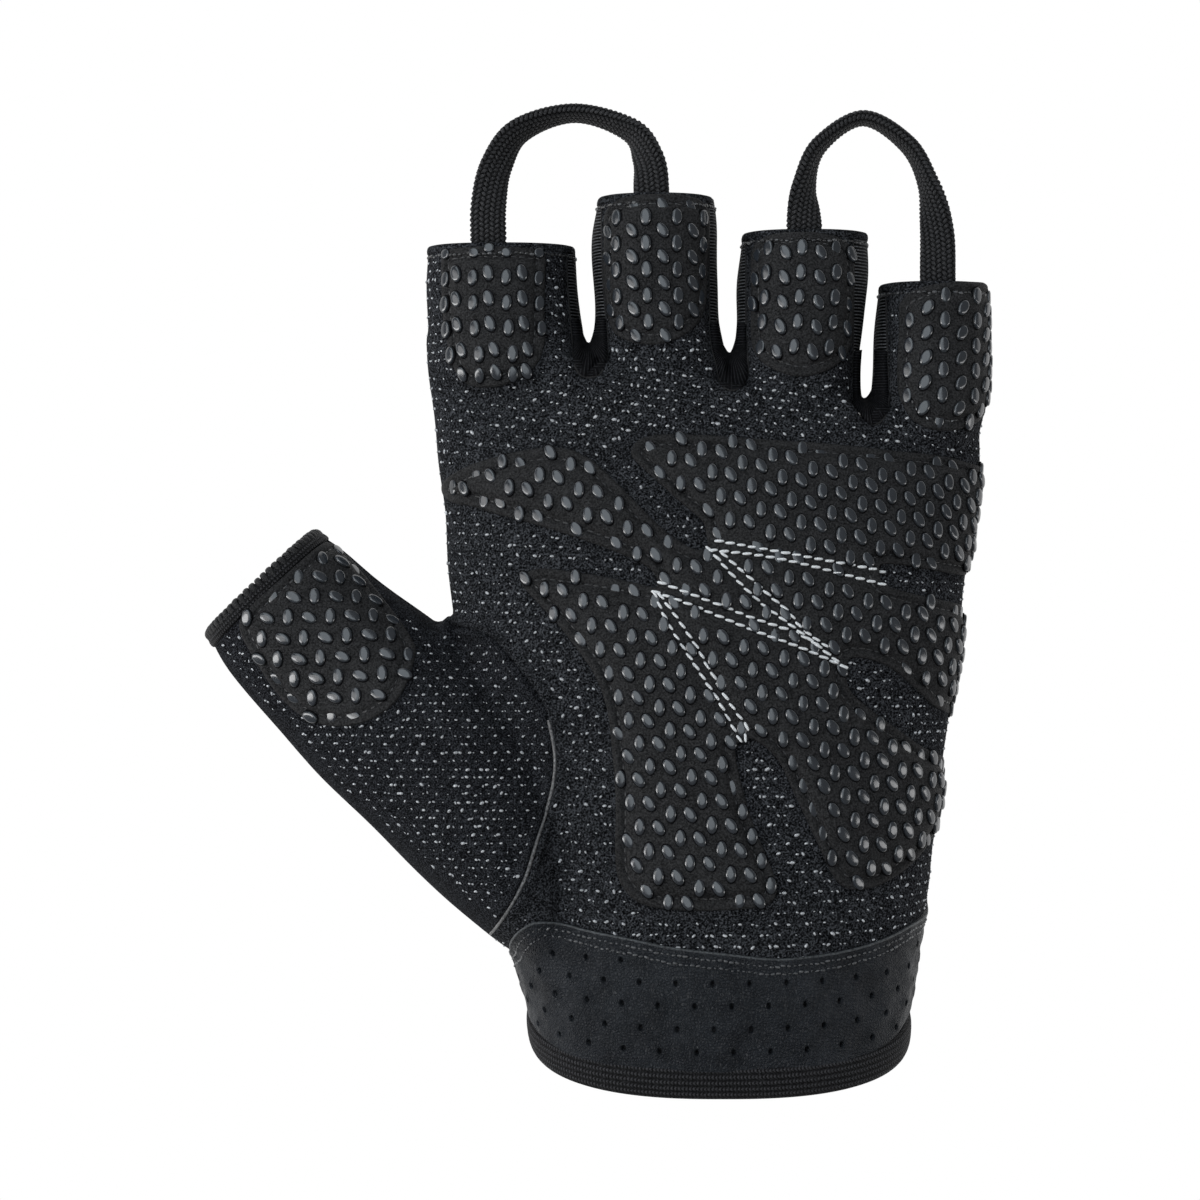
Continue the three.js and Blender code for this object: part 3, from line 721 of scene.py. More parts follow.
# The strips between the fingers, in pixels of the photo: the seam round each, down one finger and up the
# next, the edge of the gap at its foot, and the folds there with their depth and width in mm
stripSeams = {
    "index_middle": {
        "seam": [
            (565, 120), (566, 250), (568, 300), (571, 325), (572.5, 345), (574, 365), (578, 376), (586, 380),
            (596, 379), (603, 374), (607, 362), (608.5, 345), (607, 325), (604, 295), (602, 250), (601, 120),
        ],
        "gap": [(579, 318), (583, 334), (588.8, 346), (593, 335), (596, 318)],
        "folds": [
            ([(589, 347), (594, 357), (597, 362)], 1.3, 0.5),
            ([(597, 362), (590, 376)], 1.2, 0.45),
            ([(597, 361), (602, 371)], 0.9, 0.45),
            ([(585, 351), (579, 368)], 0.9, 0.7),
        ],
    },
    "middle_ring": {
        "seam": [
            (709, 120), (709, 250), (709.5, 330), (711, 347), (715, 362), (718, 374), (719, 386),
            (725, 392), (734, 393), (742, 388), (747, 380), (748.5, 370), (747.5, 350), (746.5, 330),
            (747, 250), (747, 120),
        ],
        "gap": [(718, 322), (721, 342), (729.4, 356.3), (735, 345), (737, 322)],
        "folds": [
            ([(729, 358), (728, 368), (733, 379), (735, 390)], 1.2, 0.5),
            ([(728, 368), (725, 388)], 0.9, 0.45),
            ([(719, 352), (720, 388)], 0.6, 0.4),
            ([(738, 345), (745, 362)], 0.8, 0.5),
        ],
    },
    "ring_little": {
        "seam": [
            (853.5, 150), (853.5, 300), (853.5, 385), (854, 404), (858, 413), (863, 421), (868, 427),
            (874, 427), (881, 422), (887, 414), (889.5, 405), (889, 385), (888.5, 360), (888, 300),
            (888, 250), (888, 150),
        ],
        "gap": [
            (862, 350), (860.5, 372), (861, 395), (863.5, 398.8),
            (868, 396), (872, 388), (874, 372), (874.5, 350),
        ],
        "folds": [
            ([(868, 400), (871, 411), (875, 424)], 1.3, 0.5),
            ([(857, 402), (862, 408)], 1.0, 0.8),
            ([(872, 401), (882, 411)], 0.8, 0.45),
            ([(877, 398), (886, 402)], 0.8, 0.8),
        ],
    },
}
heelLine = rounded(np.vstack([seams["heelStart"], spots(seams["heel"], seams["heelLevel"])]), 1.0)
thumbZone = np.vstack([heelLine, seams["thumbCorners"]])
bandEdge = rounded(seams["band"], 1.0)
sideSeam = np.array(seams["side"])
stripZones = {name: spots(given["seam"], seams["stripLevel"]) for name, given in stripSeams.items()}

# fields that are zero along a seam and positive on the panel's side of it


def sideField(p):
    return p[:, 2] - np.interp(p[:, 1], sideSeam[:, 0], sideSeam[:, 1])


def thumbField(p):
    return signedDistance(thumbZone, p[:, :2])


def bandField(p):
    return p[:, 1] - np.interp(p[:, 0], bandEdge[:, 0], bandEdge[:, 1])


def wristField(depth):
    def field(p):
        lean = hand.sizes(np.array([hand.first]))["lean"][0]
        return p[:, 1] - (hand.first + depth - lean * (p[:, 2] - leanLevel))

    return field


def tipField(depth):
    def field(p):
        ends = [limb.last for limb in fingers.values()]
        tips = np.select([p[:, 0] < border for border in seams["fingerBorders"]], ends[:3], ends[3])
        tips = np.where(p[:, 1] < seams["fingerFoot"], 80, tips)
        return tips - depth - p[:, 1]

    return field


def thumbTipField(depth):
    def field(p):
        s, _ = thumb.local(p[:, :2])
        return np.where(p[:, 0] < seams["thumbBorder"], thumb.last - depth - s, 1.0)

    return field


def stripField(name):
    def field(p):
        return signedDistance(stripZones[name], p[:, :2])

    return field


# dents and creases pressed into the skin, a row for each: its line in the photo, depth and width in mm
creases = [
    ([(588, 384), (586, 400)], 0.5, 0.7),
    ([(596, 384), (602, 398)], 0.4, 0.6),
    ([(580, 384), (574, 396)], 0.4, 0.6),
    ([(640, 362), (670, 372), (700, 366)], 0.45, 2.4),
    ([(452, 400), (500, 410), (560, 398)], 0.4, 3.0),
    ([(760, 392), (800, 400), (838, 398)], 0.4, 2.4),
]


# how deep and wide the cloth is drawn in at its seams, and above which height
seamDents = {
    "heelGroove": (0.45, 0.4),
    "heelRidge": (0.75, 0.75),
    "ridgeAway": 0.9,
    "heelEnd": -57,
    "heelFrom": 6,
    "strip": (0.35, 0.45),
    "stripFrom": 9,
    "side": (0.3, 0.5),
    "sideFrom": 2,
    "swell": 0.1,
    "swellFrom": 4,
}


def dent(gap, size):
    depth, width = size
    return depth * bell(gap, width)


def pressed(points, tris):
    given = seamDents
    normals = vertexNormals(points, tris)
    x, y, z = points.T
    up = normals[:, 2] > 0.05
    depth = np.zeros(len(points))
    for line, *size in creases:
        depth += dent(distanceTo(spots(line, 22), points[:, :2]), size) * up
    gap = distanceTo(heelLine, points[:, :2])
    ridge = dent(gap - given["ridgeAway"], given["heelRidge"]) - dent(gap, given["heelGroove"])
    depth -= ridge * (z > given["heelFrom"]) * np.clip((y - given["heelEnd"]) / 3, 0, 1)
    for zone in stripZones.values():
        depth += dent(np.abs(signedDistance(zone, points[:, :2])), given["strip"]) * (z > given["stripFrom"])
    depth += dent(np.abs(sideField(points)), given["side"]) * (z > given["sideFrom"])
    # slow uneven swells, as in cloth over a form
    swell = np.sin(x * 0.31 + y * 0.17)
    swell = swell + np.sin(y * 0.27 - x * 0.11 + 1.3)
    swell = swell + np.sin(x * 0.13 + y * 0.41 + z * 0.2 + 2.1)
    depth += given["swell"] * swell * (z > given["swellFrom"])
    return points - normals * depth[:, None]


# where two fingers part the cloth is drawn down to a point: place in the photo, depth, width, and reach
# below and above in mm
partings = [
    ((589, 340), 3.3, 1.5, 5.0, 2.2),
    ((729, 350), 2.0, 1.5, 4.5, 2.2),
    ((864, 392), 3.4, 1.4, 5.0, 2.2),
]


def drawnDown(points):
    for place, depth, width, below, above in partings:
        x, y = spot(*place, 18)
        along = points[:, 1] - y
        share = bell(points[:, 0] - x, width) * bell(along, np.where(along > 0, above, below))
        points[:, 1] -= depth * share
    return points


outerPoints = drawnDown(outerPoints)
outerPoints = pressed(outerPoints, outerTris)
outerPoints[:, 2] = np.maximum(outerPoints[:, 2], 0.0)
skinTree = BVHTree.FromPolygons(outerPoints.tolist(), outerTris.tolist())

openEnds = [wristField(0.4), tipField(0.4), thumbTipField(0.6)]
stripFields = {name: stripField(name) for name in stripZones}
for field in (*openEnds, sideField, thumbField, bandField, *stripFields.values()):
    outerPoints, outerTris = cutAlong(outerPoints, outerTris, field)

middles = outerPoints[outerTris].mean(1)
shown = np.all([field(middles) > 0 for field in openEnds], axis=0)
inThumb = thumbField(middles) > 0
top = sideField(middles) > 0
inBand = (bandField(middles) < 0) & top & ~inThumb
raised = (middles[:, 2] > seams["stripFloor"]) & ~inThumb
strips = {name: (field(middles) > 0) & raised for name, field in stripFields.items()}
anyStrip = np.any(list(strips.values()), axis=0)
panels = {
    "palm_panel": shown & top & ~inThumb & ~inBand & ~anyStrip,
    "back_panel": shown & ~top & ~inThumb & ~anyStrip,
    "thumb_panel": shown & inThumb,
    "band_lining": shown & inBand,
}
panels.update({"fourchette_" + name: shown & keep for name, keep in strips.items()})


def applied(ob):
    # the object's modifiers made into its mesh
    made = bpy.data.meshes.new_from_object(ob.evaluated_get(bpy.context.evaluated_depsgraph_get()))
    ob.modifiers.clear()
    ob.data = made
    return ob


def walled(ob, thickness):
    solid = ob.modifiers.new("wall", "SOLIDIFY")
    solid.thickness = thickness * mm
    solid.offset = -1
    return applied(ob)


pieces = {}
for name, keep in panels.items():
    thickness = skin["stripWall"] if name.startswith("fourchette") else skin["panelWall"]
    pieces[name] = walled(keepFaces(name, outerPoints, outerTris, keep), thickness)
    if name.startswith("fourchette"):
        # where each point of a strip lies along its ribs, in mm
        setFloats(pieces[name], "rib", arrays(pieces[name])[0][:, 1])
print("skin cut into", len(pieces), "panels")


class Cloth:
    # a limb's surface laid flat: q runs round it to the right of its crown, s along it, both in mm

    arcStep = 0.5
    widest = 80.0
    past = 6
    half = 150  # steps of the angle on each side of the crown
    feel = 0.6  # how far away the directions of the surface are felt

    def __init__(self, limb):
        self.limb = limb
        self.angles = np.linspace(-1.0, math.pi + 1.0, 2 * self.half + 1)
        self.stations = np.arange(limb.first - self.past, limb.last + self.past, 1.0)
        self.arcs = np.arange(-self.widest, self.widest, self.arcStep)
        s, angles = np.meshgrid(self.stations, self.angles, indexing="ij")
        steps = np.linalg.norm(np.diff(limb.point(angles, s), axis=1), axis=2)
        run = np.concatenate([np.zeros((len(steps), 1)), np.cumsum(steps, 1)], 1)
        self.run = run[:, self.half : self.half + 1] - run
        self.table = np.array([np.interp(self.arcs, row[::-1], self.angles[::-1]) for row in self.run])

    def angle(self, q, s):
        i = np.clip((s - self.stations[0]), 0, len(self.stations) - 1.001)
        j = np.clip((q - self.arcs[0]) / self.arcStep, 0, len(self.arcs) - 1.001)
        a, b = i.astype(int), j.astype(int)
        f, g = i - a, j - b
        below, above = ((1 - g) * self.table[row, b] + g * self.table[row, b + 1] for row in (a, a + 1))
        return (1 - f) * below + f * above

    def place(self, q, s):
        return self.limb.point(self.angle(q, s), s)

    def frame(self, q, s):
        # the place, and the directions round, along and out of the surface
        h = self.feel
        across = self.place(q + h, s) - self.place(q - h, s)
        along = self.place(q, s + h) - self.place(q, s - h)
        return self.place(q, s), unit(across), unit(along), unit(np.cross(across, along))

    def onSkin(self, flat, tree=skinTree, reach=14.0):
        # the same for flat places, with how far each has to move out to lie on a surface
        here, across, along, out = self.frame(flat[:, 0], flat[:, 1])
        shift = np.zeros(len(here))
        for i in range(len(here)):
            hit = tree.ray_cast((here[i] + out[i] * reach).tolist(), (-out[i]).tolist(), reach * 1.6)
            if hit[0] is not None:
                shift[i] = reach - hit[3]
        return here, across, along, out, shift

    def laidOn(self, flat, tree, reach, lift=0.0):
        here, across, along, out, shift = self.onSkin(flat, tree, reach)
        return here + out * (shift + lift)[:, None], across, along, out

    def fromPhoto(self, pixels):
        # q and s of places in the photo; past the outline, q runs on round the side
        pixels = np.asarray(pixels, float)
        z = np.full(len(pixels), 28.0)  # a first guess of the height
        limb = self.limb
        for _ in range(5):
            xy = np.array([spot(x, y, h) for (x, y), h in zip(pixels, z)])
            t, u = limb.local(xy)
            s = t.copy()
            for _ in range(3):
                r = limb.sizes(s)
                half, centre = (r["right"] - r["left"]) / 2, (r["right"] + r["left"]) / 2
                share = np.clip((u - centre) / half, -1, 1)
                angle = np.arccos(np.sign(share) * np.abs(share) ** (r["round"] / 2))
                side = sideShare * r["top"]
                z = side + (r["top"] - side) * np.sin(angle) ** (2 / r["round"])
                s = t + r["slant"] * (u - slantCentre) + r["lean"] * (z - leanLevel)
        past = np.select([u > centre + half, u < centre - half], [u - centre - half, u - centre + half], 0)
        rows = np.clip(np.round(s - self.stations[0]).astype(int), 0, len(self.run) - 1)
        q = np.array([np.interp(a, self.angles, self.run[row]) for a, row in zip(angle, rows)])
        return np.stack([q + past, s], 1)


cloths = {name: Cloth(limb) for name, limb in limbs.items()}


# Small shapes that are repeated over the cloth: x along, y across, z out, each about one unit. A dot and
# the dark disc under it, painted dark as the shade round the dot's foot, are turned from rings, here with
# their width and height as shares of a dot.
dotProfile = [
    (1.0, -0.5), (1.0, 0.05), (0.98, 0.5), (0.96, 0.66),
    (0.93, 0.72), (0.82, 0.87), (0.76, 0.925), (0.45, 0.985),
]
discProfile = [(1.13, -0.5), (1.13, 0.03), (1.08, 0.06), (0.5, 0.07)]
dotAround = 18


def domeShape(name, profile, around):
    points = [
        (wide * math.cos(t) / mm, wide * math.sin(t) / mm, high / mm)
        for wide, high in profile
        for t in np.linspace(0, tau, around, endpoint=False)
    ]
    top = len(points)
    points.append((0, 0, (profile[-1][1] + 0.01) / mm))
    faces = []
    for r in range(len(profile) - 1):
        for k in range(around):
            a, b = r * around + k, r * around + (k + 1) % around
            faces.append((a, b, b + around, a + around))
    last = (len(profile) - 1) * around
    faces += [(last + k, last + (k + 1) % around, top) for k in range(around)]
    faces.append(tuple(range(around))[::-1])
    ob = meshObject(name, points, faces)
    setFloats(ob, "rise", [max(0.0, p[2] * mm) for p in points])
    return ob


def stitchShape(name, around=8, rings=5):
    # a closed spindle
    points, faces = [(-1 / mm, 0, 0)], []
    for r in range(1, rings):
        a = math.pi * r / rings
        wide = math.sin(a) ** 0.6
        for k in range(around):
            b = tau * k / around
            points.append((-math.cos(a) / mm, wide * math.cos(b) / mm, wide * math.sin(b) / mm))
    points.append((1 / mm, 0, 0))
    end = len(points) - 1
    for r in range(rings - 2):
        for k in range(around):
            a, b = 1 + r * around + k, 1 + r * around + (k + 1) % around
            faces.append((a, a + around, b + around, b))
    for k in range(around):
        faces.append((0, 1 + k, 1 + (k + 1) % around))
        a, b = 1 + (rings - 2) * around + k, 1 + (rings - 2) * around + (k + 1) % around
        faces.append((a, end, b))
    return meshObject(name, points, faces)


def scatterTree():
    # a shape on each point, turned and sized by the point's own attributes
    tree = bpy.data.node_groups.new("scatterAlong", "GeometryNodeTree")
    face = tree.interface
    face.new_socket("Geometry", in_out="INPUT", socket_type="NodeSocketGeometry")
    sockets = {"Shape": "Object", "Finish": "Material", "Unevenness": "Float", "Seed": "Int"}
    for label, kind in sockets.items():
        face.new_socket(label, in_out="INPUT", socket_type="NodeSocket" + kind)
    face.new_socket("Geometry", in_out="OUTPUT", socket_type="NodeSocketGeometry")
    given = tree.nodes.new("NodeGroupInput").outputs
    out = tree.nodes.new("NodeGroupOutput").inputs

    def attribute(name):
        n = tree.nodes.new("GeometryNodeInputNamedAttribute")
        n.data_type = "FLOAT_VECTOR"
        n.inputs["Name"].default_value = name
        return n.outputs["Attribute"]

    axes = {0: attribute("facing"), 1: attribute("along")}
    turn = node(tree, "FunctionNodeAxesToRotation", axes, primary_axis="Z", secondary_axis="X")
    least, most = (maths(tree, way, 1.0, given["Unevenness"]) for way in ("SUBTRACT", "ADD"))
    limits = {2: least, 3: most, "Seed": given["Seed"]}
    vary = node(tree, "FunctionNodeRandomValue", limits, data_type="FLOAT")
    sizes = {0: attribute("size"), "Scale": vary.outputs[1]}
    size = node(tree, "ShaderNodeVectorMath", sizes, operation="SCALE")
    shape = node(tree, "GeometryNodeObjectInfo", {"Object": given["Shape"]})
    inputs = {
        "Points": given["Geometry"],
        "Instance": shape.outputs["Geometry"],
        "Rotation": turn.outputs[0],
        "Scale": size.outputs[0],
    }
    copies = node(tree, "GeometryNodeInstanceOnPoints", inputs)
    real = node(tree, "GeometryNodeRealizeInstances", {0: copies.outputs[0]})
    inputs = {"Geometry": real.outputs[0], "Material": given["Finish"]}
    tree.links.new(node(tree, "GeometryNodeSetMaterial", inputs).outputs[0], out["Geometry"])
    return tree


scatterAlong = scatterTree()
dotShape = domeShape("dotShape", dotProfile, dotAround)
discShape = domeShape("discShape", discProfile, dotAround)
threadShape = stitchShape("threadShape")
fleckShape = stitchShape("fleckShape", 4, 3)


def scattered(name, places, facing, along, size, shape, finish, unevenness=0.06, seed=3):
    # places in mm; size is the half length, half width and height of each
    ob = meshObject(name, places, [], False)
    size = np.broadcast_to(np.asarray(size, float), (len(places), 3)) * mm
    for label, values in (("facing", facing), ("along", along), ("size", size)):
        layer = ob.data.attributes.new(label, "FLOAT_VECTOR", "POINT")
        layer.data.foreach_set("vector", np.ascontiguousarray(values, float).ravel())
    repeat = ob.modifiers.new("scatter", "NODES")
    repeat.node_group = scatterAlong
    sockets = {i.name: i.identifier for i in scatterAlong.interface.items_tree if i.in_out == "INPUT"}
    for label, value in (("Shape", shape), ("Finish", finish), ("Unevenness", unevenness), ("Seed", seed)):
        repeat[sockets[label]] = value
    applied(ob)
    ob.data.polygons.foreach_set("use_smooth", [True] * len(ob.data.polygons))
    return ob


def lattice(outline, start, row, column, margin):
    # places of a regular pattern that lie inside a flat outline
    outline = np.asarray(outline)
    pitch = min(np.linalg.norm(row), np.linalg.norm(column))
    reach = int(np.ptp(outline, axis=0).max() / pitch * 1.5) + 4
    i, j = np.meshgrid(np.arange(-reach, reach + 1), np.arange(-reach, reach + 1))
    places = np.asarray(start) + i.reshape(-1, 1) * np.asarray(row) + j.reshape(-1, 1) * np.asarray(column)
    low, high = outline.min(0), outline.max(0)
    places = places[((places > low) & (places < high)).all(1)]
    return places[signedDistance(outline, places) > margin]


def filled(outline, step, depths, extraPoints=None, centres=None, clear=0.0):
    # a flat outline filled with triangles of about one size, with rows that follow its edge
    outline = np.asarray(outline)
    if signedArea(outline) < 0:
        outline = outline[::-1]
    extra = [drawnIn(outline, depth) for depth in depths]
    low, high = outline.min(0), outline.max(0)
    x, y = np.meshgrid(np.arange(low[0], high[0], step), np.arange(low[1], high[1], step * 0.87))
    x[1::2] += step / 2
    grid = np.stack([x.ravel(), y.ravel()], 1)
    grid = grid[signedDistance(outline, grid) > max(depths) + step * 0.6]
    if extraPoints is not None:
        grid = grid[np.min([np.hypot(*(grid - c).T) for c in centres], axis=0) > clear]
        grid = np.concatenate([grid, extraPoints])
    points = np.concatenate([outline, *extra, grid])
    made = delaunay_2d_cdt([Vector(p) for p in points.tolist()], [], [list(range(len(outline)))], 1, 1e-4)
    return np.array([tuple(v) for v in made[0]]), np.array([list(f) for f in made[2]])


def eased(values, tris, rounds):
    # a value at each point evened out with its neighbours'
    edges = plainEdges(tris)
    count = np.bincount(edges.ravel(), minlength=len(values))
    for _ in range(rounds):
        total = sum(np.bincount(edges[:, i], values[edges[:, 1 - i]], len(values)) for i in (0, 1))
        values = 0.5 * values + 0.5 * total / np.maximum(count, 1)
    return values


def closedSheet(name, upper, lower, tris):
    # upper and lower faces over the same triangles, joined round the open edge
    n = len(upper)
    edges = [tuple(edge) for edge in sideEdges(tris).tolist()]
    known = set(edges)
    rim = [(a, b) for a, b in edges if (b, a) not in known]
    faces = tris.tolist() + (tris[:, ::-1] + n).tolist() + [(a, a + n, b + n, b) for a, b in rim]
    return meshObject(name, np.concatenate([upper, lower]), faces)


def sweptStrand(middle, side, out, size, sides):
    # a flattened rod along a line; size is its half width and half height
    turn = tau * np.arange(sides) / sides
    ring = (
        middle[:, None, :]
        + side[:, None, :] * (size[0] * np.cos(turn))[None, :, None]
        + out[:, None, :] * (size[1] * np.sin(turn))[None, :, None]
    )
    return ring.reshape(-1, 3), loftFaces(len(middle), sides)


def fromAbove(tree, place):
    # where a surface is met from straight above: its point, or None, and its normal
    above = 80.0
    return tree.ray_cast((float(place[0]), float(place[1]), above), (0, 0, -1.0), above)[:2]


def topAt(flat):
    # heights of the skin
    met = [fromAbove(skinTree, place)[0] for place in flat]
    return np.array([0.0 if point is None else point.z for point in met])


def cordOn(name, line, size, made, sink=0.0, sides=8, smooth=7):
    # a thin cord laid on the skin along a flat line, seen from above
    line = np.column_stack([averaged(values, smooth) for values in (*line.T, topAt(line))])
    line[:, 2] -= sink
    way = unit(np.gradient(line, axis=0))
    side = unit(np.cross(way, (0, 0, 1.0)))
    ob = turnedOut(meshObject(name, *sweptStrand(line, side, np.cross(side, way), size, sides)))
    ob.data.materials.append(made)
    return ob


def turnedOut(ob):
    # faces made to point outwards, once the mesh is closed
    shape = bmesh.new()
    shape.from_mesh(ob.data)
    bmesh.ops.recalc_face_normals(shape, faces=shape.faces)
    shape.to_mesh(ob.data)
    shape.free()
    return ob


# the folded foot of a strip, a small sheet over the gap between two fingers
stripFoot = {
    "step": 0.33,
    "edgeRows": (0.3, 0.7),
    "gapLevel": 16,
    "foldLevel": 18,
    "drop": 2.3,
    "thickness": 0.9,
    "puff": 0.6,
    "puffWidth": 1.8,
    "aboveSkin": 0.2,
    "seamDip": (0.3, 0.25),
    "seamSize": (0.2, 0.14),
    "fanRise": 1.2,
    "fanRadius": 5.0,
}


def makeStripFoot(name, given):
    form = stripFoot
    gap = rounded(spots(given["gap"], form["gapLevel"]), 0.35, loops=1)
    seam = rounded(stripZones[name], 0.4)
    outer = seam[seam[:, 1] < gap[0][1] + 0.1]
    flat, tris = filled(np.vstack([outer, gap[::-1]]), form["step"], form["edgeRows"])
    fromSeam = distanceTo(outer, flat)
    fromGap = distanceTo(gap, flat)
    # the skin's height a little outside the seam is carried inwards
    away = outer - outer[len(outer) // 2]
    outside = 0.5 * away / np.maximum(np.linalg.norm(away, axis=1, keepdims=True), 1) * [1, 0]
    rim = averaged(topAt(outer + outside), 7)
    nearest = np.argmin(np.linalg.norm(flat[:, None] - outer[None], axis=2), axis=1)
    share = fromSeam / np.maximum(fromSeam + fromGap, 1e-6)
    height = eased(rim[nearest], tris, 12) - form["drop"] * share**3
    # the cloth swells between its seam and its folds
    height += form["puff"] * np.sin(math.pi * np.clip(fromSeam / form["puffWidth"], 0, 1)) * (1 - share**4)
    height = np.maximum(height, topAt(flat) + form["aboveSkin"] - 7 * np.maximum(share - 0.55, 0))
    for line, *size in given["folds"]:
        height -= dent(distanceTo(rounded(spots(line, form["foldLevel"]), 0.4, loops=1), flat), size)
    height = eased(height, tris, 1) - dent(fromSeam, form["seamDip"])
    upper, lower = (np.column_stack([flat, height - down]) for down in (0, form["thickness"]))
    ob = closedSheet(name + "Foot", upper, lower, tris)
    # the ribs lie across each side of the gap and fan out round its foot
    away = flat - gap[np.argmin(gap[:, 1])] - [0, form["fanRise"]]
    turn = np.arctan2(away[:, 0], -away[:, 1])
    fan = form["fanRadius"] * np.clip(turn, -0.5 * math.pi, 0.5 * math.pi)
    ribs = fan + np.sign(away[:, 0]) * np.maximum(away[:, 1], 0)
    setFloats(ob, "rib", np.concatenate([ribs, ribs]))
    ob.data.materials.append(ribbedShadedFold)
    line = seam[tipField(1.2)(np.column_stack([seam, 0 * seam])) > 0]
    cord = cordOn(name + "Seam", line, form["seamSize"], edgeThread, 0.02)
    return [turnedOut(ob), cord]


for name, given in stripSeams.items():
    strip = pieces["fourchette_" + name].data
    strip.materials.append(ribbedLitWalls)
    strip.materials.append(ribbedShadedFold)
    # the strip walls take the copy painted light and the folded foot the copy painted dark, as painted light
    # and shade
    foot = spots(given["gap"], stripFoot["gapLevel"])[:, 1].min() * mm
    for face in strip.polygons:
        face.material_index = int(face.center.y < foot)
    joinInto(pieces["fourchette_" + name], makeStripFoot(name, given))
print("strips folded at their feet")


# The grip pads: outlines and dots in pixels of the photo, heights in mm. Every second row of dots starts
# at the offset, and each of the two kinds of row leans its own way.
padForm = {"rim": 0.5, "crown": 0.95, "step": 0.55, "margin": 0.7}
pads = {
    "palm": {
        "limb": "hand",
        "outline": [
            (440, 490), (447, 480), (469, 465), (501, 456), (531, 449), (565, 447), (590, 458), (613, 479),
            (639, 506), (664, 531), (694, 551), (710, 549), (706, 534), (705, 522), (682, 504), (655, 479),
            (632, 458), (630, 449), (643, 435), (686, 434), (778, 441), (847, 446), (904, 452), (945, 456),
            (968, 464), (1004, 470), (1008, 520), (1004, 572), (961, 577), (881, 561), (876, 571), (883, 590),
            (966, 609), (992, 614), (988, 660), (976, 716), (938, 712), (915, 689), (888, 664), (850, 655),
            (844, 667), (847, 691), (870, 710), (892, 726), (927, 753), (956, 760), (960, 782), (948, 812),
            (930, 838), (908, 868), (878, 887), (850, 891), (835, 881), (823, 856), (807, 822), (792, 789),
            (780, 761), (765, 746), (747, 736), (733, 746), (740, 780), (749, 813), (762, 847), (774, 874),
            (778, 893), (768, 907), (725, 911), (676, 911), (639, 905), (621, 887), (615, 865), (616, 792),
            (612, 746), (608, 709), (597, 676), (579, 651), (556, 621), (529, 594), (517, 578), (538, 567),
            (572, 572), (607, 577), (641, 584), (660, 590), (655, 572), (639, 561), (607, 548), (572, 536),
            (538, 525), (510, 518), (487, 511), (469, 505), (455, 504), (446, 497),
        ],
        "rim": 0.6,
        "crown": 1.65,
        "step": 0.62,
        "start": (701.5, 451.5),
        "row": (38.8, 10.2),
        "column": (8.6, 22.3),
        "offset": (19.2, 3.0),
        "leans": (0.0, 0.55),
    },
    "index": {
        "limb": "index",
        "outline": [
            (441, 262), (443, 300), (448, 340), (456, 376), (473, 388), (497, 388), (520, 380), (535, 368),
            (543, 352), (545, 330), (545, 262), (545, 248), (443, 248),
        ],
        "margin": 0.2,
        "start": (458, 274.5),
        "row": (32, 0),
        "column": (-1.2, 25.3),
        "offset": (16, 4.0),
        "leans": (0.2, -0.2),
        "lastRow": [(463, 374), (480, 375), (496, 372), (513, 374), (526, 371)],
    },
    "middle": {
        "limb": "middle",
        "outline": [
            (606, 197), (606, 250), (605, 300), (610, 330), (628, 342), (655, 346), (682, 338), (700, 321),
            (707, 300), (708, 250), (708, 197),
        ],
        "start": (619.4, 218.8),
        "row": (28.6, 0),
        "column": (0, 26),
        "offset": (14, 12.6),
        "leans": (0.0, 0.55),
    },
    "ring": {
        "limb": "ring",
        "outline": [
            (752, 234), (752, 290), (752, 340), (757, 356), (770, 369), (800, 379), (830, 370), (846, 356),
            (852, 340), (853, 290), (853, 234),
        ],
        "start": (770, 249),
        "row": (33.2, 0),
        "column": (0, 24.7),
        "offset": (16.6, 4.5),
        "leans": (0.0, 0.5),
    },
    "little": {
        "limb": "little",
        "outline": [
            (900, 284), (899, 340), (898, 380), (901, 402), (915, 425), (945, 433), (975, 424), (990, 408),
            (1000, 380), (1002, 330), (1002, 284),
        ],
        "start": (945, 295.5),
        "row": (33, 0),
        "column": (0, 25),
        "offset": (-16.8, 12.8),
        "leans": (0.0, -0.5),
    },
    "thumb": {
        "limb": "thumb",
        "outline": [
            (243, 612), (304, 558), (330, 541), (381, 597), (415, 643), (416, 655), (405, 691), (386, 713),
            (350, 728), (311, 722), (284, 701), (253, 655), (238, 630),
        ],
        "start": (289, 618),
        "row": (41.2, 0),
        "column": (16, 20.1),
        "offset": (21, 0.7),
        "leans": (0.0, 1.05),
    },
}
# white stitch lines of the palm pad, in pixels of the photo
whiteLines = [
    [(719, 542), (800, 557), (881, 572)],
    [(713, 551), (775, 558), (880, 585)],
    [(709, 550), (739, 584), (765, 608), (780, 618), (814, 644), (842, 667)],
    [(724, 556), (750, 579), (775, 602), (787, 611), (801, 630), (824, 646)],
    [(662, 584), (713, 603), (755, 620), (794, 632), (814, 644)],
    [(656, 593), (695, 607), (755, 632), (801, 648), (842, 667)],
    [(655, 595), (667, 623), (686, 652), (716, 696), (732, 726), (739, 739)],
    [(661, 597), (677, 618), (700, 652), (720, 689), (739, 717), (748, 728), (745, 738)],
]
stitching = {
    "inset": 1.75,
    "groove": (0.5, 0.36),
    "blackPitch": 1.55,
    "blackSize": (0.56, 0.22, 0.22),
    "whitePitch": 2.0,
    "whiteSize": (0.87, 0.27, 0.28),
    "whiteTwist": 0.17,
    "whiteLift": 0.2,
    "channel": 1.3,
    "channelLift": 0.25,
}
padCloth = {
    "edgeRows": (0.16, 0.45, 0.9, 1.35, 1.75, 2.15),
    "quickShare": 1.0,
    "edgeWidth": 0.55,
    "edgeShare": 0.45,
    "swellWidth": 1.5,
    "sideShare": 0.3,
    "sunk": 0.5,
}
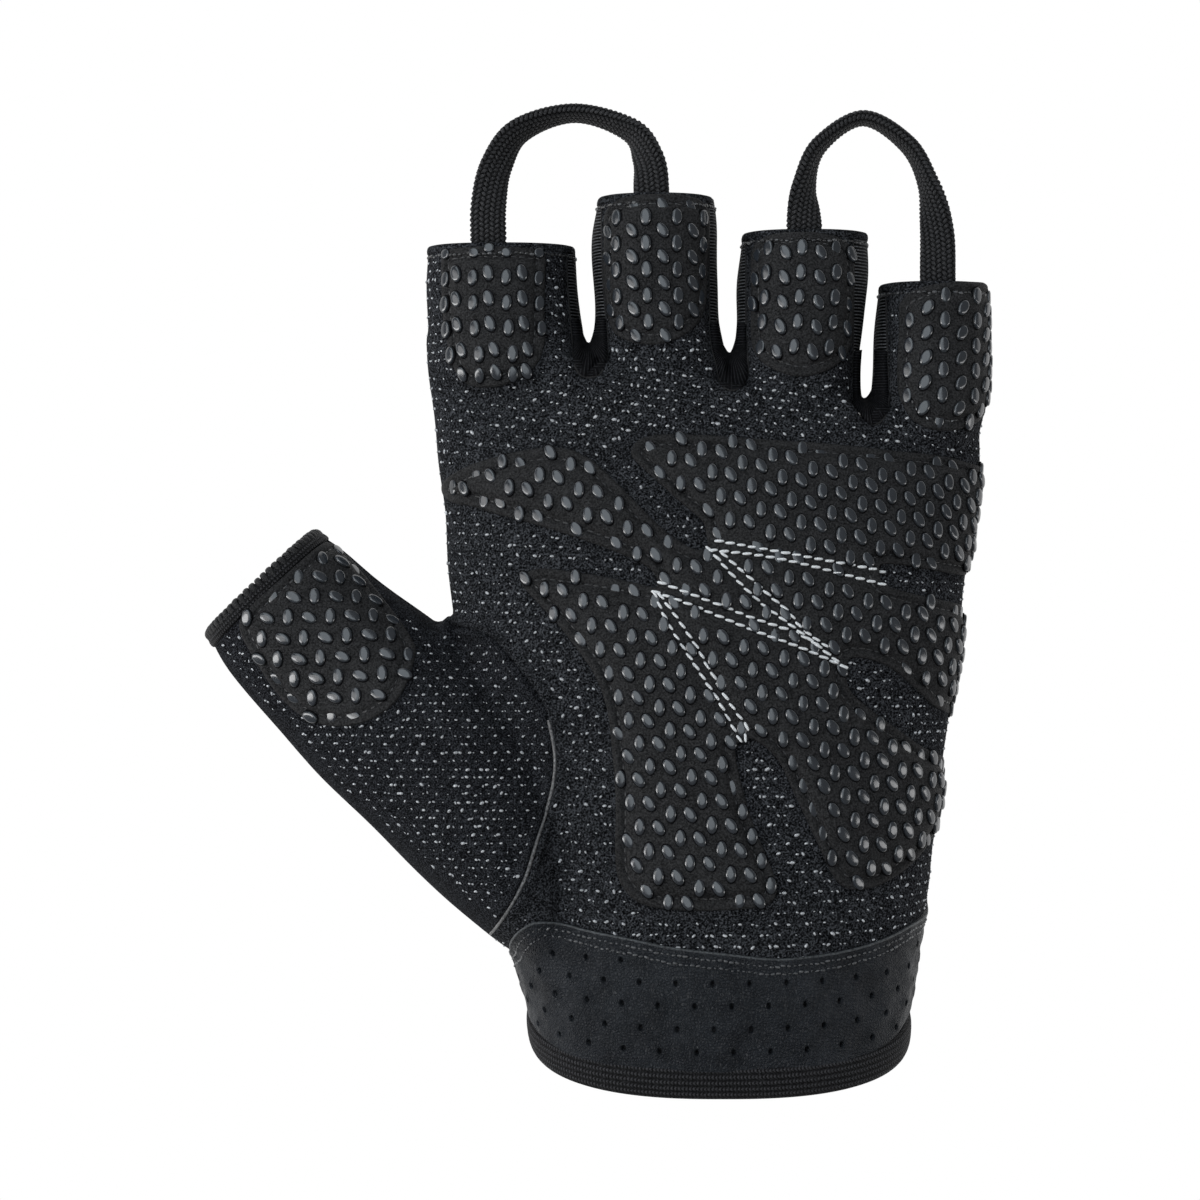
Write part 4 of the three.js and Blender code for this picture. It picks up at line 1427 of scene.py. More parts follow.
dots = {
    "size": (1.52, 0.95, 0.62),
    "seamPress": (0.6, 0.75),
    "linePress": (1.0, 1.0),
    "flatter": 0.72,
    "smaller": 0.12,
    "turnedWidth": 1.8,
    "turnedShare": (0.58, 1.0, 0.6),
    "lineGap": 0.3,
    "unevenness": 0.05,
}
padOutlines, padTrees = {}, {}


def roundedRise(share):
    # a quarter of a circle, from nothing to one
    return np.sqrt(1 - (1 - share) ** 2)


def padRelief(given, depth, lineGap):
    # how far a pad stands out of the cloth, from the distance to its edge and to its white stitching
    edge = roundedRise(np.clip(depth / padCloth["edgeWidth"], 0, 1))
    low = given["rim"] * (padCloth["edgeShare"] + (1 - padCloth["edgeShare"]) * edge)
    rise = 1 - np.exp(-np.maximum(depth - stitching["inset"], 0) / padCloth["swellWidth"])
    height = low + (given["crown"] - given["rim"]) * rise
    height -= dent(depth - stitching["inset"], stitching["groove"])
    if lineGap is not None:
        flatness = bell(lineGap, stitching["channel"])
        height = height * (1 - flatness) + (given["rim"] + stitching["channelLift"]) * flatness
    return height


def dotSizes(places, outline, lines, turnedAt):
    # half length, half width and height; a dot that a seam crosses is pressed flatter
    sizes = np.tile(np.array(dots["size"]), (len(places), 1))
    pressedFlat = dent(signedDistance(outline, places) - stitching["inset"], dots["seamPress"])
    for line in lines:
        pressedFlat = np.maximum(pressedFlat, dent(distanceTo(line, places), dots["linePress"]))
    sizes[:, 2] *= 1 - dots["flatter"] * pressedFlat
    sizes[:, :2] *= (1 - dots["smaller"] * pressedFlat)[:, None]
    # the turned edge of a finger covers half of its last row
    sizes[places[:, 1] > turnedAt] *= dots["turnedShare"]
    return sizes


def dotRows(cloth, given, outline, lines):
    # for both kinds of row, the flat places of its dots and how they lean
    for k, (shiftBy, lean) in enumerate(zip(((0, 0), given["offset"]), given["leans"])):
        first = cloth.fromPhoto([(given["start"][0] + shiftBy[0], given["start"][1] + shiftBy[1])])[0]
        step = [np.array([v[0] * pixel, -v[1] * pixel]) for v in (given["row"], given["column"])]
        if given["limb"] == "thumb":
            step = [np.array([thumb.across, thumb.along]) @ v for v in step]
            lean = lean - thumbHeading + math.pi / 2
        places = lattice(outline, first, *step, given["margin"])
        if "lastRow" in given:
            lastRow = cloth.fromPhoto(given["lastRow"])
            places = np.vstack([places[places[:, 1] > lastRow[:, 1].max() + 1.5], lastRow[k::2]])
        for line in lines:
            places = places[distanceTo(line, places) > dots["lineGap"]]
        yield places, lean


def makePad(name, given):
    given = {**padForm, **given}
    cloth = cloths[given["limb"]]
    outline = rounded(cloth.fromPhoto(given["outline"]), 0.55, closed=True)
    lines = [rounded(cloth.fromPhoto(line), 0.4) for line in whiteLines] if name == "palm" else []
    flat, tris = filled(outline, given["step"] * padCloth["quickShare"], padCloth["edgeRows"])
    depth = np.maximum(signedDistance(outline, flat), 0)
    lineGap = np.min([distanceTo(line, flat) for line in lines], axis=0) if lines else None
    here, across, along, out, shift = cloth.onSkin(flat)
    shift = eased(shift, tris, 10)
    # a pad is thinner where it is drawn round the side of the glove
    facing = softStep(np.clip((out[:, 2] - 0.05) / 0.6, 0, 1))
    height = padRelief(given, depth, lineGap)
    height *= padCloth["sideShare"] + (1 - padCloth["sideShare"]) * facing
    upper, lower = (here + out * (shift + lift)[:, None] for lift in (height, -padCloth["sunk"]))
    pad = closedSheet(name + "_grip_pad", upper, lower, tris)
    pad.data.materials.append(gripCloth)
    tree = BVHTree.FromPolygons(upper.tolist(), tris.tolist())
    padOutlines[name], padTrees[name] = outline, tree
    extras = []
    turnedAt = outline[:, 1].max() - dots["turnedWidth"] if given["limb"] in fingers else math.inf
    for k, (places, lean) in enumerate(dotRows(cloth, given, outline, lines)):
        at, across, along, out = cloth.laidOn(places, tree, 10.0)
        way = along * math.cos(lean) - across * math.sin(lean)
        form = (at, out, way, dotSizes(places, outline, lines, turnedAt))
        for shape, finish in ((dotShape, dotRubber), (discShape, dotFootShade)):
            extras.append(scattered(f"{name}Dots{k}", *form, shape, finish, dots["unevenness"], 5 + k))
    seam = evenly(drawnIn(outline, stitching["inset"]), stitching["blackPitch"], closed=True)
    at, _, _, out = cloth.laidOn(seam, tree, 10.0)
    form = (at, out, wayRound(at), stitching["blackSize"])
    extras.append(scattered(name + "Seam", *form, threadShape, blackThread, 0.15, 11))
    for k, line in enumerate(lines):
        at, _, _, out = cloth.laidOn(evenly(line, stitching["whitePitch"]), tree, 10.0)
        way = np.gradient(at, axis=0)
        way += stitching["whiteTwist"] * np.cross(out, way)
        form = (at + stitching["whiteLift"] * out, out, way, stitching["whiteSize"])
        extras.append(scattered(f"{name}White{k}", *form, threadShape, whiteThread, 0.08, 21 + k))
    return joinInto(pad, extras)


for name, given in pads.items():
    pieces[name + "_grip_pad"] = makePad(name, given)
    print(name, "pad made")


# the leather wrist band, with its punched holes and the double row of stitches under its upper edge;
# places are pixels of the photo, sizes in mm
band = {
    "upper": [
        (514, 953), (520, 949), (527, 941), (544.5, 924), (548.5, 920.6), (553, 920.2), (561, 921.5),
        (573, 925), (590, 930), (619, 936), (647, 942), (668, 947), (700, 951), (729, 954), (759, 958),
        (778, 959), (794, 958), (832, 953), (861, 946), (891, 934), (910, 922), (928, 907), (940, 896),
    ],
    "foot": -74.7,
    "ends": (1.2, 0.5),
    "footEnds": (3.5, 2.5),
    "thickness": 0.75,
    "sunk": 0.45,
    "step": 0.7,
    "edgeRows": (0.12, 0.3, 0.6),
    "holeStart": (658, 962),
    "holePitch": (36.0, 16.2),
    "holeScale": (0.985, 0.99),
    "holeMargin": 1.3,
    "holeRadius": 0.44,
    "holeRings": ((0.45, 6), (0.85, 12), (1.05, 12), (1.5, 12)),
    "holeDepth": 0.95,
    "holeRim": (0.16, 0.2),
    "holesBelow": 3.0,
    "lowestHole": -73.2,
    "seams": (1.15, 2.2),
    "seamDip": (0.2, 0.35),
    "seamPitch": 1.0,
    "seamEnds": 1.5,
    "stitchSize": (0.36, 0.19, 0.2),
    "seamSeed": 48,
    "edgeSize": (0.25, 0.19),
    "edgeInset": 0.22,
    "edgeSunk": 0.06,
}


def bandOutline(given, upper):
    left, right = upper[0] - [given["ends"][0], 0], upper[-1] + [given["ends"][1], 0]
    feet = [(right[0] - given["footEnds"][1], given["foot"]), (left[0] + given["footEnds"][0], given["foot"])]
    return rounded(np.vstack([[left], upper, [right], feet]), 0.6, closed=True), left[0], right[0]


def punchedHoles(given, cloth, outline, top):
    # The middles of the holes, and rings of points round each for the mesh to follow. The scale is the
    # photo's at the height of the band.
    across, down = np.array(given["holePitch"]) * pixel * given["holeScale"]
    start = cloth.fromPhoto([given["holeStart"]])[0]
    holes = lattice(outline, start, (across, 0), (across / 2, -down), given["holeMargin"])
    holes = holes[(distanceTo(top, holes) > given["holesBelow"]) & (holes[:, 1] > given["lowestHole"])]
    rings = [holes]
    for share, count in given["holeRings"]:
        for turn in np.linspace(0, tau, count, endpoint=False):
            rings.append(holes + share * given["holeRadius"] * np.array([math.cos(turn), math.sin(turn)]))
    return holes, np.concatenate(rings)


def bandStitches(given, cloth, outline, top, ends, tree):
    made = []
    rng = np.random.default_rng(given["seamSeed"])
    for k, inset in enumerate(given["seams"]):
        run = drawnIn(outline, inset)
        between = (run[:, 0] > ends[0] + given["seamEnds"]) & (run[:, 0] < ends[1] - given["seamEnds"])
        run = run[(distanceTo(top, run) < inset + 0.35) & between]
        run = evenly(run[np.argsort(run[:, 0])], given["seamPitch"])
        at, _, _, out = cloth.laidOn(run, tree, 8.0)
        way = np.gradient(at, axis=0)
        at = at + rng.normal(0, 0.07, (len(at), 1)) * np.array([0, 1, 0])
        way = way + rng.normal(0, 0.16, way.shape) * np.linalg.norm(way, axis=1, keepdims=True)
        form = (at, out, way, given["stitchSize"])
        # the band's stitches all take the thread painted light, as painted glints
        made.append(scattered(f"bandSeam{k}", *form, threadShape, glintThread, 0.4, 31 + k))
    return made


def makeBand(given):
    cloth = cloths["hand"]
    upper = cloth.fromPhoto(given["upper"])
    outline, *ends = bandOutline(given, upper)
    top = rounded(upper, 0.5)
    holes, rings = punchedHoles(given, cloth, outline, top)
    flat, tris = filled(outline, given["step"], given["edgeRows"], rings, holes, 1.0)
    depth = np.maximum(signedDistance(outline, flat), 0)
    height = given["thickness"] * (0.35 + 0.65 * roundedRise(np.clip(depth / 0.3, 0, 1)))
    for inset in given["seams"]:
        height -= dent(distanceTo(top, flat) - inset, given["seamDip"])
    near = np.min([np.hypot(*(flat - hole).T) for hole in holes], axis=0)
    height -= given["holeDepth"] * (1 - softStep(np.clip((near / given["holeRadius"] - 0.6) / 0.4, 0, 1)))
    height += dent(near - 0.7, given["holeRim"])
    here, across, along, out, shift = cloth.onSkin(flat)
    shift = eased(np.maximum(shift, eased(shift, tris, 14)), tris, 3)
    # soft ripples along the heel of the hand
    ripple = 0.12 * np.sin(flat[:, 0] * 0.9 + 1.5 * np.sin(flat[:, 1] * 0.5)) * bell(flat[:, 1] + 66, 6)
    upperFace, lowerFace = (here + out * (shift + up)[:, None] for up in (height + ripple, -given["sunk"]))
    ob = closedSheet("wrist_band", upperFace, lowerFace, tris)
    ob.data.materials.append(leather)
    tree = BVHTree.FromPolygons(upperFace.tolist(), tris.tolist())
    # the cut edge of the leather shows as a thin lighter line
    rim = rounded(upper, 0.4) - [0, given["edgeInset"]]
    middle, _, _, out = cloth.laidOn(rim, tree, 8.0, -given["edgeSunk"])
    side = unit(np.cross(np.gradient(middle, axis=0), out))
    edge = turnedOut(meshObject("bandEdge", *sweptStrand(middle, side, out, given["edgeSize"], 6)))
    edge.data.materials.append(cutEdge)
    return joinInto(ob, bandStitches(given, cloth, outline, top, ends, tree) + [edge])


def ringTube(name, limb, centre, half, turns, profile, lift=0.0):
    # a closed tube round a limb; half is its half length along the limb and half thickness
    t = np.linspace(0, tau, profile, endpoint=False)
    ring = np.linspace(0, tau, turns, endpoint=False)
    power = 0.75
    s = centre + half[0] * bulged(np.cos(t), power)
    g = lift + half[1] * bulged(np.sin(t), power)
    points = limb.point(ring[:, None] + 0 * t[None, :], s[None, :] + 0 * ring[:, None], g[None, :])
    points[..., 2] = np.maximum(points[..., 2], np.maximum(0.0, -g)[None, :])
    faces, weave = [], []
    middle, section = points.mean(1), np.stack([s, g], 1)
    around, girth = (runAlong(np.vstack([line, line[:1]])) for line in (middle, section))
    for r in range(turns):
        for k in range(profile):
            a, b = r * profile + k, r * profile + (k + 1) % profile
            c, d = (r + 1) % turns * profile + (k + 1) % profile, (r + 1) % turns * profile + k
            faces.append((a, b, c, d))
            for i, j in ((r, k), (r, k + 1), (r + 1, k + 1), (r + 1, k)):
                weave.append((around[i], girth[j]))
    ob = meshObject(name, points.reshape(-1, 3), faces)
    ob.data.uv_layers.new(name="weave").data.foreach_set("uv", np.array(weave).ravel())
    return ob


# the elastic hems round the two larger openings: places, half sizes and lifts in mm
bindings = {
    "wristInset": 2.0,
    "wristHalf": (2.35, 1.35),
    "wristLift": -0.25,
    "thumbInset": 1.15,
    "thumbHalf": (1.35, 0.95),
    "thumbLift": -0.35,
    "overInset": 0.35,
    "overPitch": 1.42,
    "overSize": (0.8, 1, 0.85),
    "threadHalf": (0.4, 0.62),
    "hookReach": (1.05, 1.1),
    "hookLeg": 1.15,
}


def makeWristBinding():
    given = bindings
    place = hand.first + given["wristInset"]
    ob = ringTube("wrist_binding", hand, place, given["wristHalf"], 420, 26, given["wristLift"])
    ob.data.materials.append(hemTape)
    return turnedOut(ob)


def hookShape(sides=8):
    # a thread turned over an edge like a hook
    given = bindings
    bend = []
    for t in np.linspace(-2.5, 2.5, 15):
        leg = given["hookLeg"] * (abs(t) > 1.6) * (abs(t) - 1.6)
        bend.append((given["hookReach"][0] * math.cos(t) - leg, given["hookReach"][1] * math.sin(t) - 0.55))
    bend = np.array(bend)
    points = []
    for (x, z), (dx, dz) in zip(bend, unit(np.gradient(bend, axis=0))):
        for k in range(sides):
            a = tau * k / sides
            deep, wide = given["threadHalf"][0] * math.sin(a), given["threadHalf"][1] * math.cos(a)
            points.append(((x + dz * deep) / mm, wide / mm, (z - dx * deep) / mm))
    return turnedOut(meshObject("overlockShape", points, loftFaces(len(bend), sides)))


def makeThumbBinding():
    # the thumb's overlocked edge: a tape with a thread turned over it at each stitch
    given = bindings
    place = thumb.last - given["thumbInset"]
    ob = ringTube("thumb_binding", thumb, place, given["thumbHalf"], 260, 18, given["thumbLift"])
    ob.data.materials.append(hemTape)
    turnedOut(ob)
    shape = hookShape()
    ring = np.linspace(0, tau, 721)
    line = thumb.point(ring, np.full(len(ring), thumb.last - given["overInset"]))
    line[:, 2] = np.maximum(line[:, 2], 0.6)
    spaced = evenly(line, given["overPitch"])[:-1]
    axis = np.array([*thumb.along, 0.0])
    out = unit(np.cross(wayRound(spaced), axis))
    if ((spaced - line[:-1].mean(0)) * out).sum() < 0:
        out = -out
    form = (spaced, out, np.broadcast_to(axis, spaced.shape), given["overSize"])
    over = scattered("overlock", *form, shape, edgeThread, 0.05, 41)
    bpy.data.objects.remove(shape)
    return joinInto(ob, [over])


# the turned hems of the four fingertips, each with a line of stitches below it
hems = {
    "depth": 0.8,
    "thickness": 0.6,
    "lift": -0.52,
    "seamInset": 2.1,
    "pitch": 0.95,
    "stitchSize": (0.38, 0.24, 0.26),
    "jitter": 0.1,
    "brightShare": 0.34,
    "seed": 47,
}


def stitchedRound(name, limb):
    # a line round a finger, on its pad where there is one and else on the skin
    line = limb.point(np.linspace(0, tau, 721)[:-1], np.full(720, limb.last - hems["seamInset"]))
    centre = line.mean(0)
    for i, place in enumerate(line):
        away = (place - centre) * np.array([1, 0, 1])
        away /= np.linalg.norm(away)
        for surface in (padTrees[name], skinTree):
            hit = surface.ray_cast((place + away * 1.7).tolist(), (-away).tolist(), 3.2)
            if hit[0] is not None:
                line[i] = np.array(hit[0])
                break
    line[:, 2] = np.maximum(line[:, 2], 0.25)
    return line, centre


def makeFingerHems():
    made = []
    rng = np.random.default_rng(hems["seed"])
    for name, limb in fingers.items():
        half = (hems["depth"], hems["thickness"])
        ring = ringTube(name + "Hem", limb, limb.last - hems["depth"], half, 180, 12, hems["lift"])
        ring.data.materials.append(knit)
        made.append(turnedOut(ring))
        line, centre = stitchedRound(name, limb)
        spaced = evenly(np.vstack([line, line[:1]]), hems["pitch"])[:-1]
        way = wayRound(spaced)
        out = np.cross(way, np.array([0, 1.0, 0]))
        if ((spaced - centre) * out).sum() < 0:
            out = -out
        spaced += rng.normal(0, hems["jitter"], (len(spaced), 1)) * [0, 1, 0]
        # about a third of the stitches take the thread painted light, as painted glints
        bright = rng.random(len(spaced)) < hems["brightShare"]
        for finish, chosen in ((glintThread, bright), (blackThread, ~bright)):
            form = (spaced[chosen], out[chosen], way[chosen], hems["stitchSize"])
            made.append(scattered(name + "HemSeam", *form, threadShape, finish, 0.35, 51))
    return made


# the two pull loops: flat tubular braid along a bent tape; x, y, z of its middle in mm and its turn on edge
pullLoops = {
    "index_middle": [
        (-20.0, 58.0, 18.3, 0), (-20.0, 64.4, 17.4, 0), (-20.0, 71.0, 15.9, 6), (-18.6, 78.4, 13.2, 30),
        (-14.4, 84.9, 10.4, 58), (-4.6, 88.2, 8.6, 76), (5.2, 85.1, 10.0, 62), (8.6, 79.6, 13.8, 32),
        (9.2, 73.4, 17.4, 2), (9.2, 67.0, 18.7, 0),
    ],
    "ring_little": [
        (36.6, 60.4, 18.9, 0), (36.6, 66.8, 17.9, 3), (36.8, 74.4, 15.4, 55), (39.6, 82.0, 12.0, 76),
        (47.6, 87.2, 9.6, 86), (55.6, 82.4, 10.2, 78), (59.2, 75.2, 11.6, 68), (60.6, 66.6, 14.2, 22),
        (60.6, 58.0, 16.6, 2), (60.6, 51.2, 17.5, 0),
    ],
}
braid = {
    "width": 6.4,
    "thickness": 2.5,
    "strands": 14,
    "advance": 0.98,
    "step": 0.3,
    "strandSize": (0.35, 0.24),
    "sides": 6,
    "inset": 0.35,
    "rise": 0.23,
    "coreInset": (0.4, 0.3),
}


def curveThrough(rows, step):
    # a smooth line through rows of numbers, evenly spaced
    rows = np.asarray(rows, float)
    full = np.vstack([2 * rows[0] - rows[1], rows, 2 * rows[-1] - rows[-2]])
    t = np.linspace(0, 1, 24, endpoint=False)[:, None]
    parts = []
    for a, b, c, d in zip(full[:-3], full[1:-2], full[2:-1], full[3:]):
        square, cube = 2 * a - 5 * b + 4 * c - d, 3 * b - a - 3 * c + d
        parts.append(0.5 * (2 * b + (c - a) * t + square * t**2 + cube * t**3))
    line = np.vstack([*parts, rows[-1:]])
    length = runAlong(line[:, :3])
    at = np.linspace(0, length[-1], int(length[-1] / step))
    return at, np.stack([np.interp(at, length, line[:, i]) for i in range(rows.shape[1])], 1)


def braidStrand(k, sense, at, axes, edge, girth):
    # one strand runs round the tape as it goes, two over and two under those of the other sense
    here, broad, thin = axes
    lane = girth[-1] / braid["strands"]
    turns = at / (lane * braid["advance"])
    place = np.mod((k + 0.5 + sense * turns) * lane, girth[-1])
    ahead = np.mod(place + 0.05, girth[-1])
    x, y, nextX, nextY = (np.interp(run, girth, edge[:, i]) for run in (place, ahead) for i in (0, 1))
    size = np.hypot(nextX - x, nextY - y)
    out = broad * ((nextY - y) / size)[:, None] - thin * ((nextX - x) / size)[:, None]
    weave = sense * np.cos(math.pi * (k + sense * turns) - math.pi / 4)
    middle = here + broad * x[:, None] + thin * y[:, None] + out * (braid["rise"] * weave)[:, None]
    way = unit(np.gradient(middle, axis=0))
    side = unit(np.cross(way, out))
    points, faces = sweptStrand(middle, side, np.cross(side, way), braid["strandSize"], braid["sides"])
    return points, faces, np.repeat(0.5 + 0.5 * weave, braid["sides"])


def makePullLoop(name, rows):
    at, line = curveThrough(rows, braid["step"])
    here, twist = line[:, :3], np.radians(line[:, 3:])
    along = unit(np.gradient(here, axis=0))
    flat = unit(np.cross(along, (0, 0, 1.0)))
    broad = flat * np.cos(twist) + np.cross(along, flat) * np.sin(twist)
    thin = np.cross(broad, along)
    t = np.linspace(0, tau, 721)
    a, b = braid["width"] / 2 - braid["inset"], braid["thickness"] / 2 - braid["inset"]
    edge = np.stack([a * bulged(np.cos(t), 0.8), b * bulged(np.sin(t), 0.8)], 1)
    axes, girth = (here, broad, thin), runAlong(edge)
    strands = [(k, sense) for sense in (1, -1) for k in range(braid["strands"])]
    parts = [braidStrand(*strand, at, axes, edge, girth) for strand in strands]
    # a plain core closes the gaps between the strands; having no rise, it takes the darkest colour, as
    # painted shade in the gaps
    turns = np.linspace(0, tau, 16, endpoint=False)
    a, b = a - braid["coreInset"][0], b - braid["coreInset"][1]
    core = np.stack([here + broad * a * math.cos(v) + thin * b * math.sin(v) for v in turns], 1)
    parts.append((core.reshape(-1, 3), loftFaces(len(here), len(turns)), np.zeros(core.size // 3)))
    offset, faces = 0, []
    for points, own, _ in parts:
        faces += [tuple(i + offset for i in face) for face in own]
        offset += len(points)
    ob = turnedOut(meshObject("pull_loop_" + name, np.concatenate([part[0] for part in parts]), faces))
    setFloats(ob, "rise", np.concatenate([part[2] for part in parts]))
    ob.data.materials.append(braidThread)
    return ob


# bright flecks painted where the open knit catches the light, as painted glints: pairs of stitches in rows,
# in mm
fleckForm = {
    "seed": 7,
    "handStart": (700, 925),
    "handArea": [(-62, -72), (62, -72), (62, 44), (-62, 44)],
    "handRows": ((3.2, 0), (1.6, 1.56)),
    "fingerStart": (0.6, 38.0),
    "fingerFoot": {"index": 36, "middle": 36, "ring": 36, "little": 28},
    "fingerEnd": 2.6,
    "fingerRows": ((3.0, 0), (1.5, 1.62)),
    "size": (0.37, 0.21, 0.18),
    "gap": 0.95,
    "thumbStart": (400, 760),
    "thumbArea": [(-70, -75), (-5, -75), (-5, 12), (-70, 12)],
    "thumbRows": ((2.3, 0.0), (1.15, 1.44)),
    "thumbEnd": 3.2,
    "thumbSize": (0.32, 0.19, 0.17),
    "thumbGap": 0.8,
    "thumbWay": [1.0, 0.12, 0.0],
    "knuckles": 41.5,
    "parting": (590, 378),
    "gathered": 7.0,
    "singleShare": 0.55,
    "lean": 0.55,
    "handSeed": 61,
    "thumbSeed": 66,
}


def inPairs(at, out, way, gap):
    # the first stitches of all pairs, then the second ones
    both = np.concatenate([at - way * gap / 2, at + way * gap / 2])
    return both, np.tile(out, (2, 1)), np.tile(way, (2, 1))


def fleckPairs(cloth, area, start, rows, pad):
    places = lattice(np.array(area, float), start, *rows, 0.0)
    places = places[signedDistance(pad, places) < -1.0]
    here, across, along, out, shift = cloth.onSkin(places)
    near = np.abs(shift) < 9
    at = here + out * shift[:, None]
    return inPairs(at[near], out[near], across[near], fleckForm["gap"])


def thumbFlecks():
    # rows across the photo, laid on the ball of the thumb from above
    given = fleckForm
    area = np.array(given["thumbArea"], float)
    places = lattice(area, spot(*given["thumbStart"]), *given["thumbRows"], 0.0)
    at, out = [], []
    for place in places:
        point, normal = fromAbove(skinTree, place)
        pastTip = thumb.local(place)[0] > thumb.last - given["thumbEnd"]
        onPad = fromAbove(padTrees["thumb"], place)[0] is not None
        if not pastTip and not onPad and point is not None and normal.z > 0.5:
            at.append(point)
            out.append(normal)
    at, out = np.array(at), np.array(out)
    way = np.tile(given["thumbWay"], (len(at), 1))
    way -= out * (way * out).sum(1, keepdims=True)
    return inPairs(at, out, way, given["thumbGap"])


def fleckGroups():
    # the part of the glove, its size and seed of flecks, and their pairs
    given = fleckForm
    start = cloths["hand"].fromPhoto([given["handStart"]])[0]
    pairs = fleckPairs(cloths["hand"], given["handArea"], start, given["handRows"], padOutlines["palm"])
    groups = [("hand", given["size"], given["handSeed"], pairs)]
    for name, limb in fingers.items():
        low, high = given["fingerFoot"][name], limb.last - given["fingerEnd"]
        area = [(-40, low), (40, low), (40, high), (-40, high)]
        start = np.array(given["fingerStart"])
        pairs = fleckPairs(cloths[name], area, start, given["fingerRows"], padOutlines[name])
        groups.append((name, given["size"], given["handSeed"], pairs))
    return groups + [("thumb", given["thumbSize"], given["thumbSeed"], thumbFlecks())]


def fleckPlaces(part, at):
    # whether each place lies on the open knit of its part, clear of seams and edges
    inThumb = thumbField(at)
    if part == "thumb":
        return (inThumb > 1.2) & (at[:, 2] > 3)
    strip = np.max([field(at) for field in stripFields.values()], axis=0)
    border = fleckForm["knuckles"] - 0.12 * np.maximum(at[:, 0] - 10, 0)
    keep = (sideField(at) > 0.6) & (inThumb < -1.2) & (strip < -0.8)
    keep &= (bandField(at) > 1.0) & (tipField(2.9)(at) > 0)
    return keep & ((at[:, 1] < border) if part == "hand" else (at[:, 1] >= border))


def makeFlecks():
    made = {"palm_panel": [], "thumb_panel": []}
    rng = np.random.default_rng(fleckForm["seed"])
    parting = np.array([*spot(*fleckForm["parting"], 22)])
    for n, (part, size, seed, (at, out, way)) in enumerate(fleckGroups()):
        # many places show only one of their two stitches, and each stitch leans its own way
        second = np.arange(len(at)) >= len(at) // 2
        single = rng.random(len(at)) < fleckForm["singleShare"]
        lean = rng.normal(0, fleckForm["lean"], (len(at), 1))
        at = at + 0.1 * rng.normal(size=(len(at), 1)) * way
        at = at + 0.08 * rng.normal(size=(len(at), 1)) * np.cross(out, way)
        keep = fleckPlaces(part, at) & ~(second & single)
        # only on the outermost cloth there
        for i in np.nonzero(keep)[0]:
            hit = skinTree.find_nearest(at[i].tolist())
            keep[i] = hit[3] < 0.45 and hit[1].dot(Vector(out[i])) > 0.6
        at, out, way, lean = at[keep], out[keep], way[keep], lean[keep]
        way = way * np.cos(lean) + np.cross(out, way) * np.sin(lean)
        # gathers turn the stitches upright below the parting of the first two fingers
        towards = np.concatenate([parting - at[:, :2], np.zeros((len(at), 1))], 1)
        gap = np.linalg.norm(towards, axis=1, keepdims=True)
        share = bell(gap, fleckForm["gathered"]) * (part in ("hand", "index", "middle"))
        way = way * (1 - share) + 1.6 * share * towards / np.maximum(gap, 1e-6)
        strength = 0.4 + 0.85 * rng.random(len(at))
        form = (at + out * 0.02, out, way, np.asarray(size)[None, :] * strength[:, None])
        panel = "thumb_panel" if part == "thumb" else "palm_panel"
        made[panel].append(scattered(f"flecks{n}", *form, fleckShape, paintedGlint, 0.25, seed + n))
    return made


# a narrow cut edge of cloth stands up along the seam round the heel of the thumb
def makeHeelPiping():
    line = evenly(heelLine, 0.7)
    line = line[(topAt(line) > 8) & (line[:, 1] < -20)]
    return cordOn("heelPiping", line, (0.32, 0.45), piping, -0.25)


pieces["wrist_band"] = makeBand(band)
print("band made")
pieces["wrist_binding"] = makeWristBinding()
pieces["thumb_binding"] = makeThumbBinding()
for name, rows in pullLoops.items():
    pieces["pull_loop_" + name] = makePullLoop(name, rows)
print("bindings and loops made")
pieces["palm_panel"].data.materials.append(knit)
pieces["thumb_panel"].data.materials.append(fineKnit)
flecks = makeFlecks()
joinInto(pieces["palm_panel"], flecks["palm_panel"] + makeFingerHems())
joinInto(pieces["thumb_panel"], flecks["thumb_panel"] + [makeHeelPiping()])
print("flecks and hems made")

# finishes, riding and what each piece stands for; the pads and strips follow below
finishOf = {
    "palm_panel": (knit, "knit_mesh"),
    "thumb_panel": (fineKnit, "knit_mesh"),
    "back_panel": (stretch, "stretch_knit"),
    "band_lining": (stretch, "stretch_knit"),
    "wrist_band": (leather, "perforated_leather"),
    "wrist_binding": (hemTape, "edge_elastic"),
    "thumb_binding": (hemTape, "edge_elastic"),
    "pull_loop_index_middle": (braidThread, "braided_tape"),
    "pull_loop_ring_little": (braidThread, "braided_tape"),
}
for name, piece in pieces.items():
    others = (gripCloth, "dotted_grip") if "pad" in name else (ribbedLitWalls, "ribbed_elastic")
    made, slot = finishOf.get(name, others)
    if not piece.data.materials:
        piece.data.materials.append(made)
    # nothing reaches below what the glove lies on
    for point in piece.data.vertices:
        point.co.z = max(point.co.z, 0.0)
    piece.name = piece.data.name = "sewn_" + name
    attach(piece, "root")
    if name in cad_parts:
        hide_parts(name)
    "pad" in name

# the photo's camera, with the lights, floor and world
studio = {
    "lens": 133.333,
    "sensor": 36.0,
    "farthest": 10.0,
    "world": 0.17,
    "floorHalf": 3000,
    "floorDown": 0.3,
}
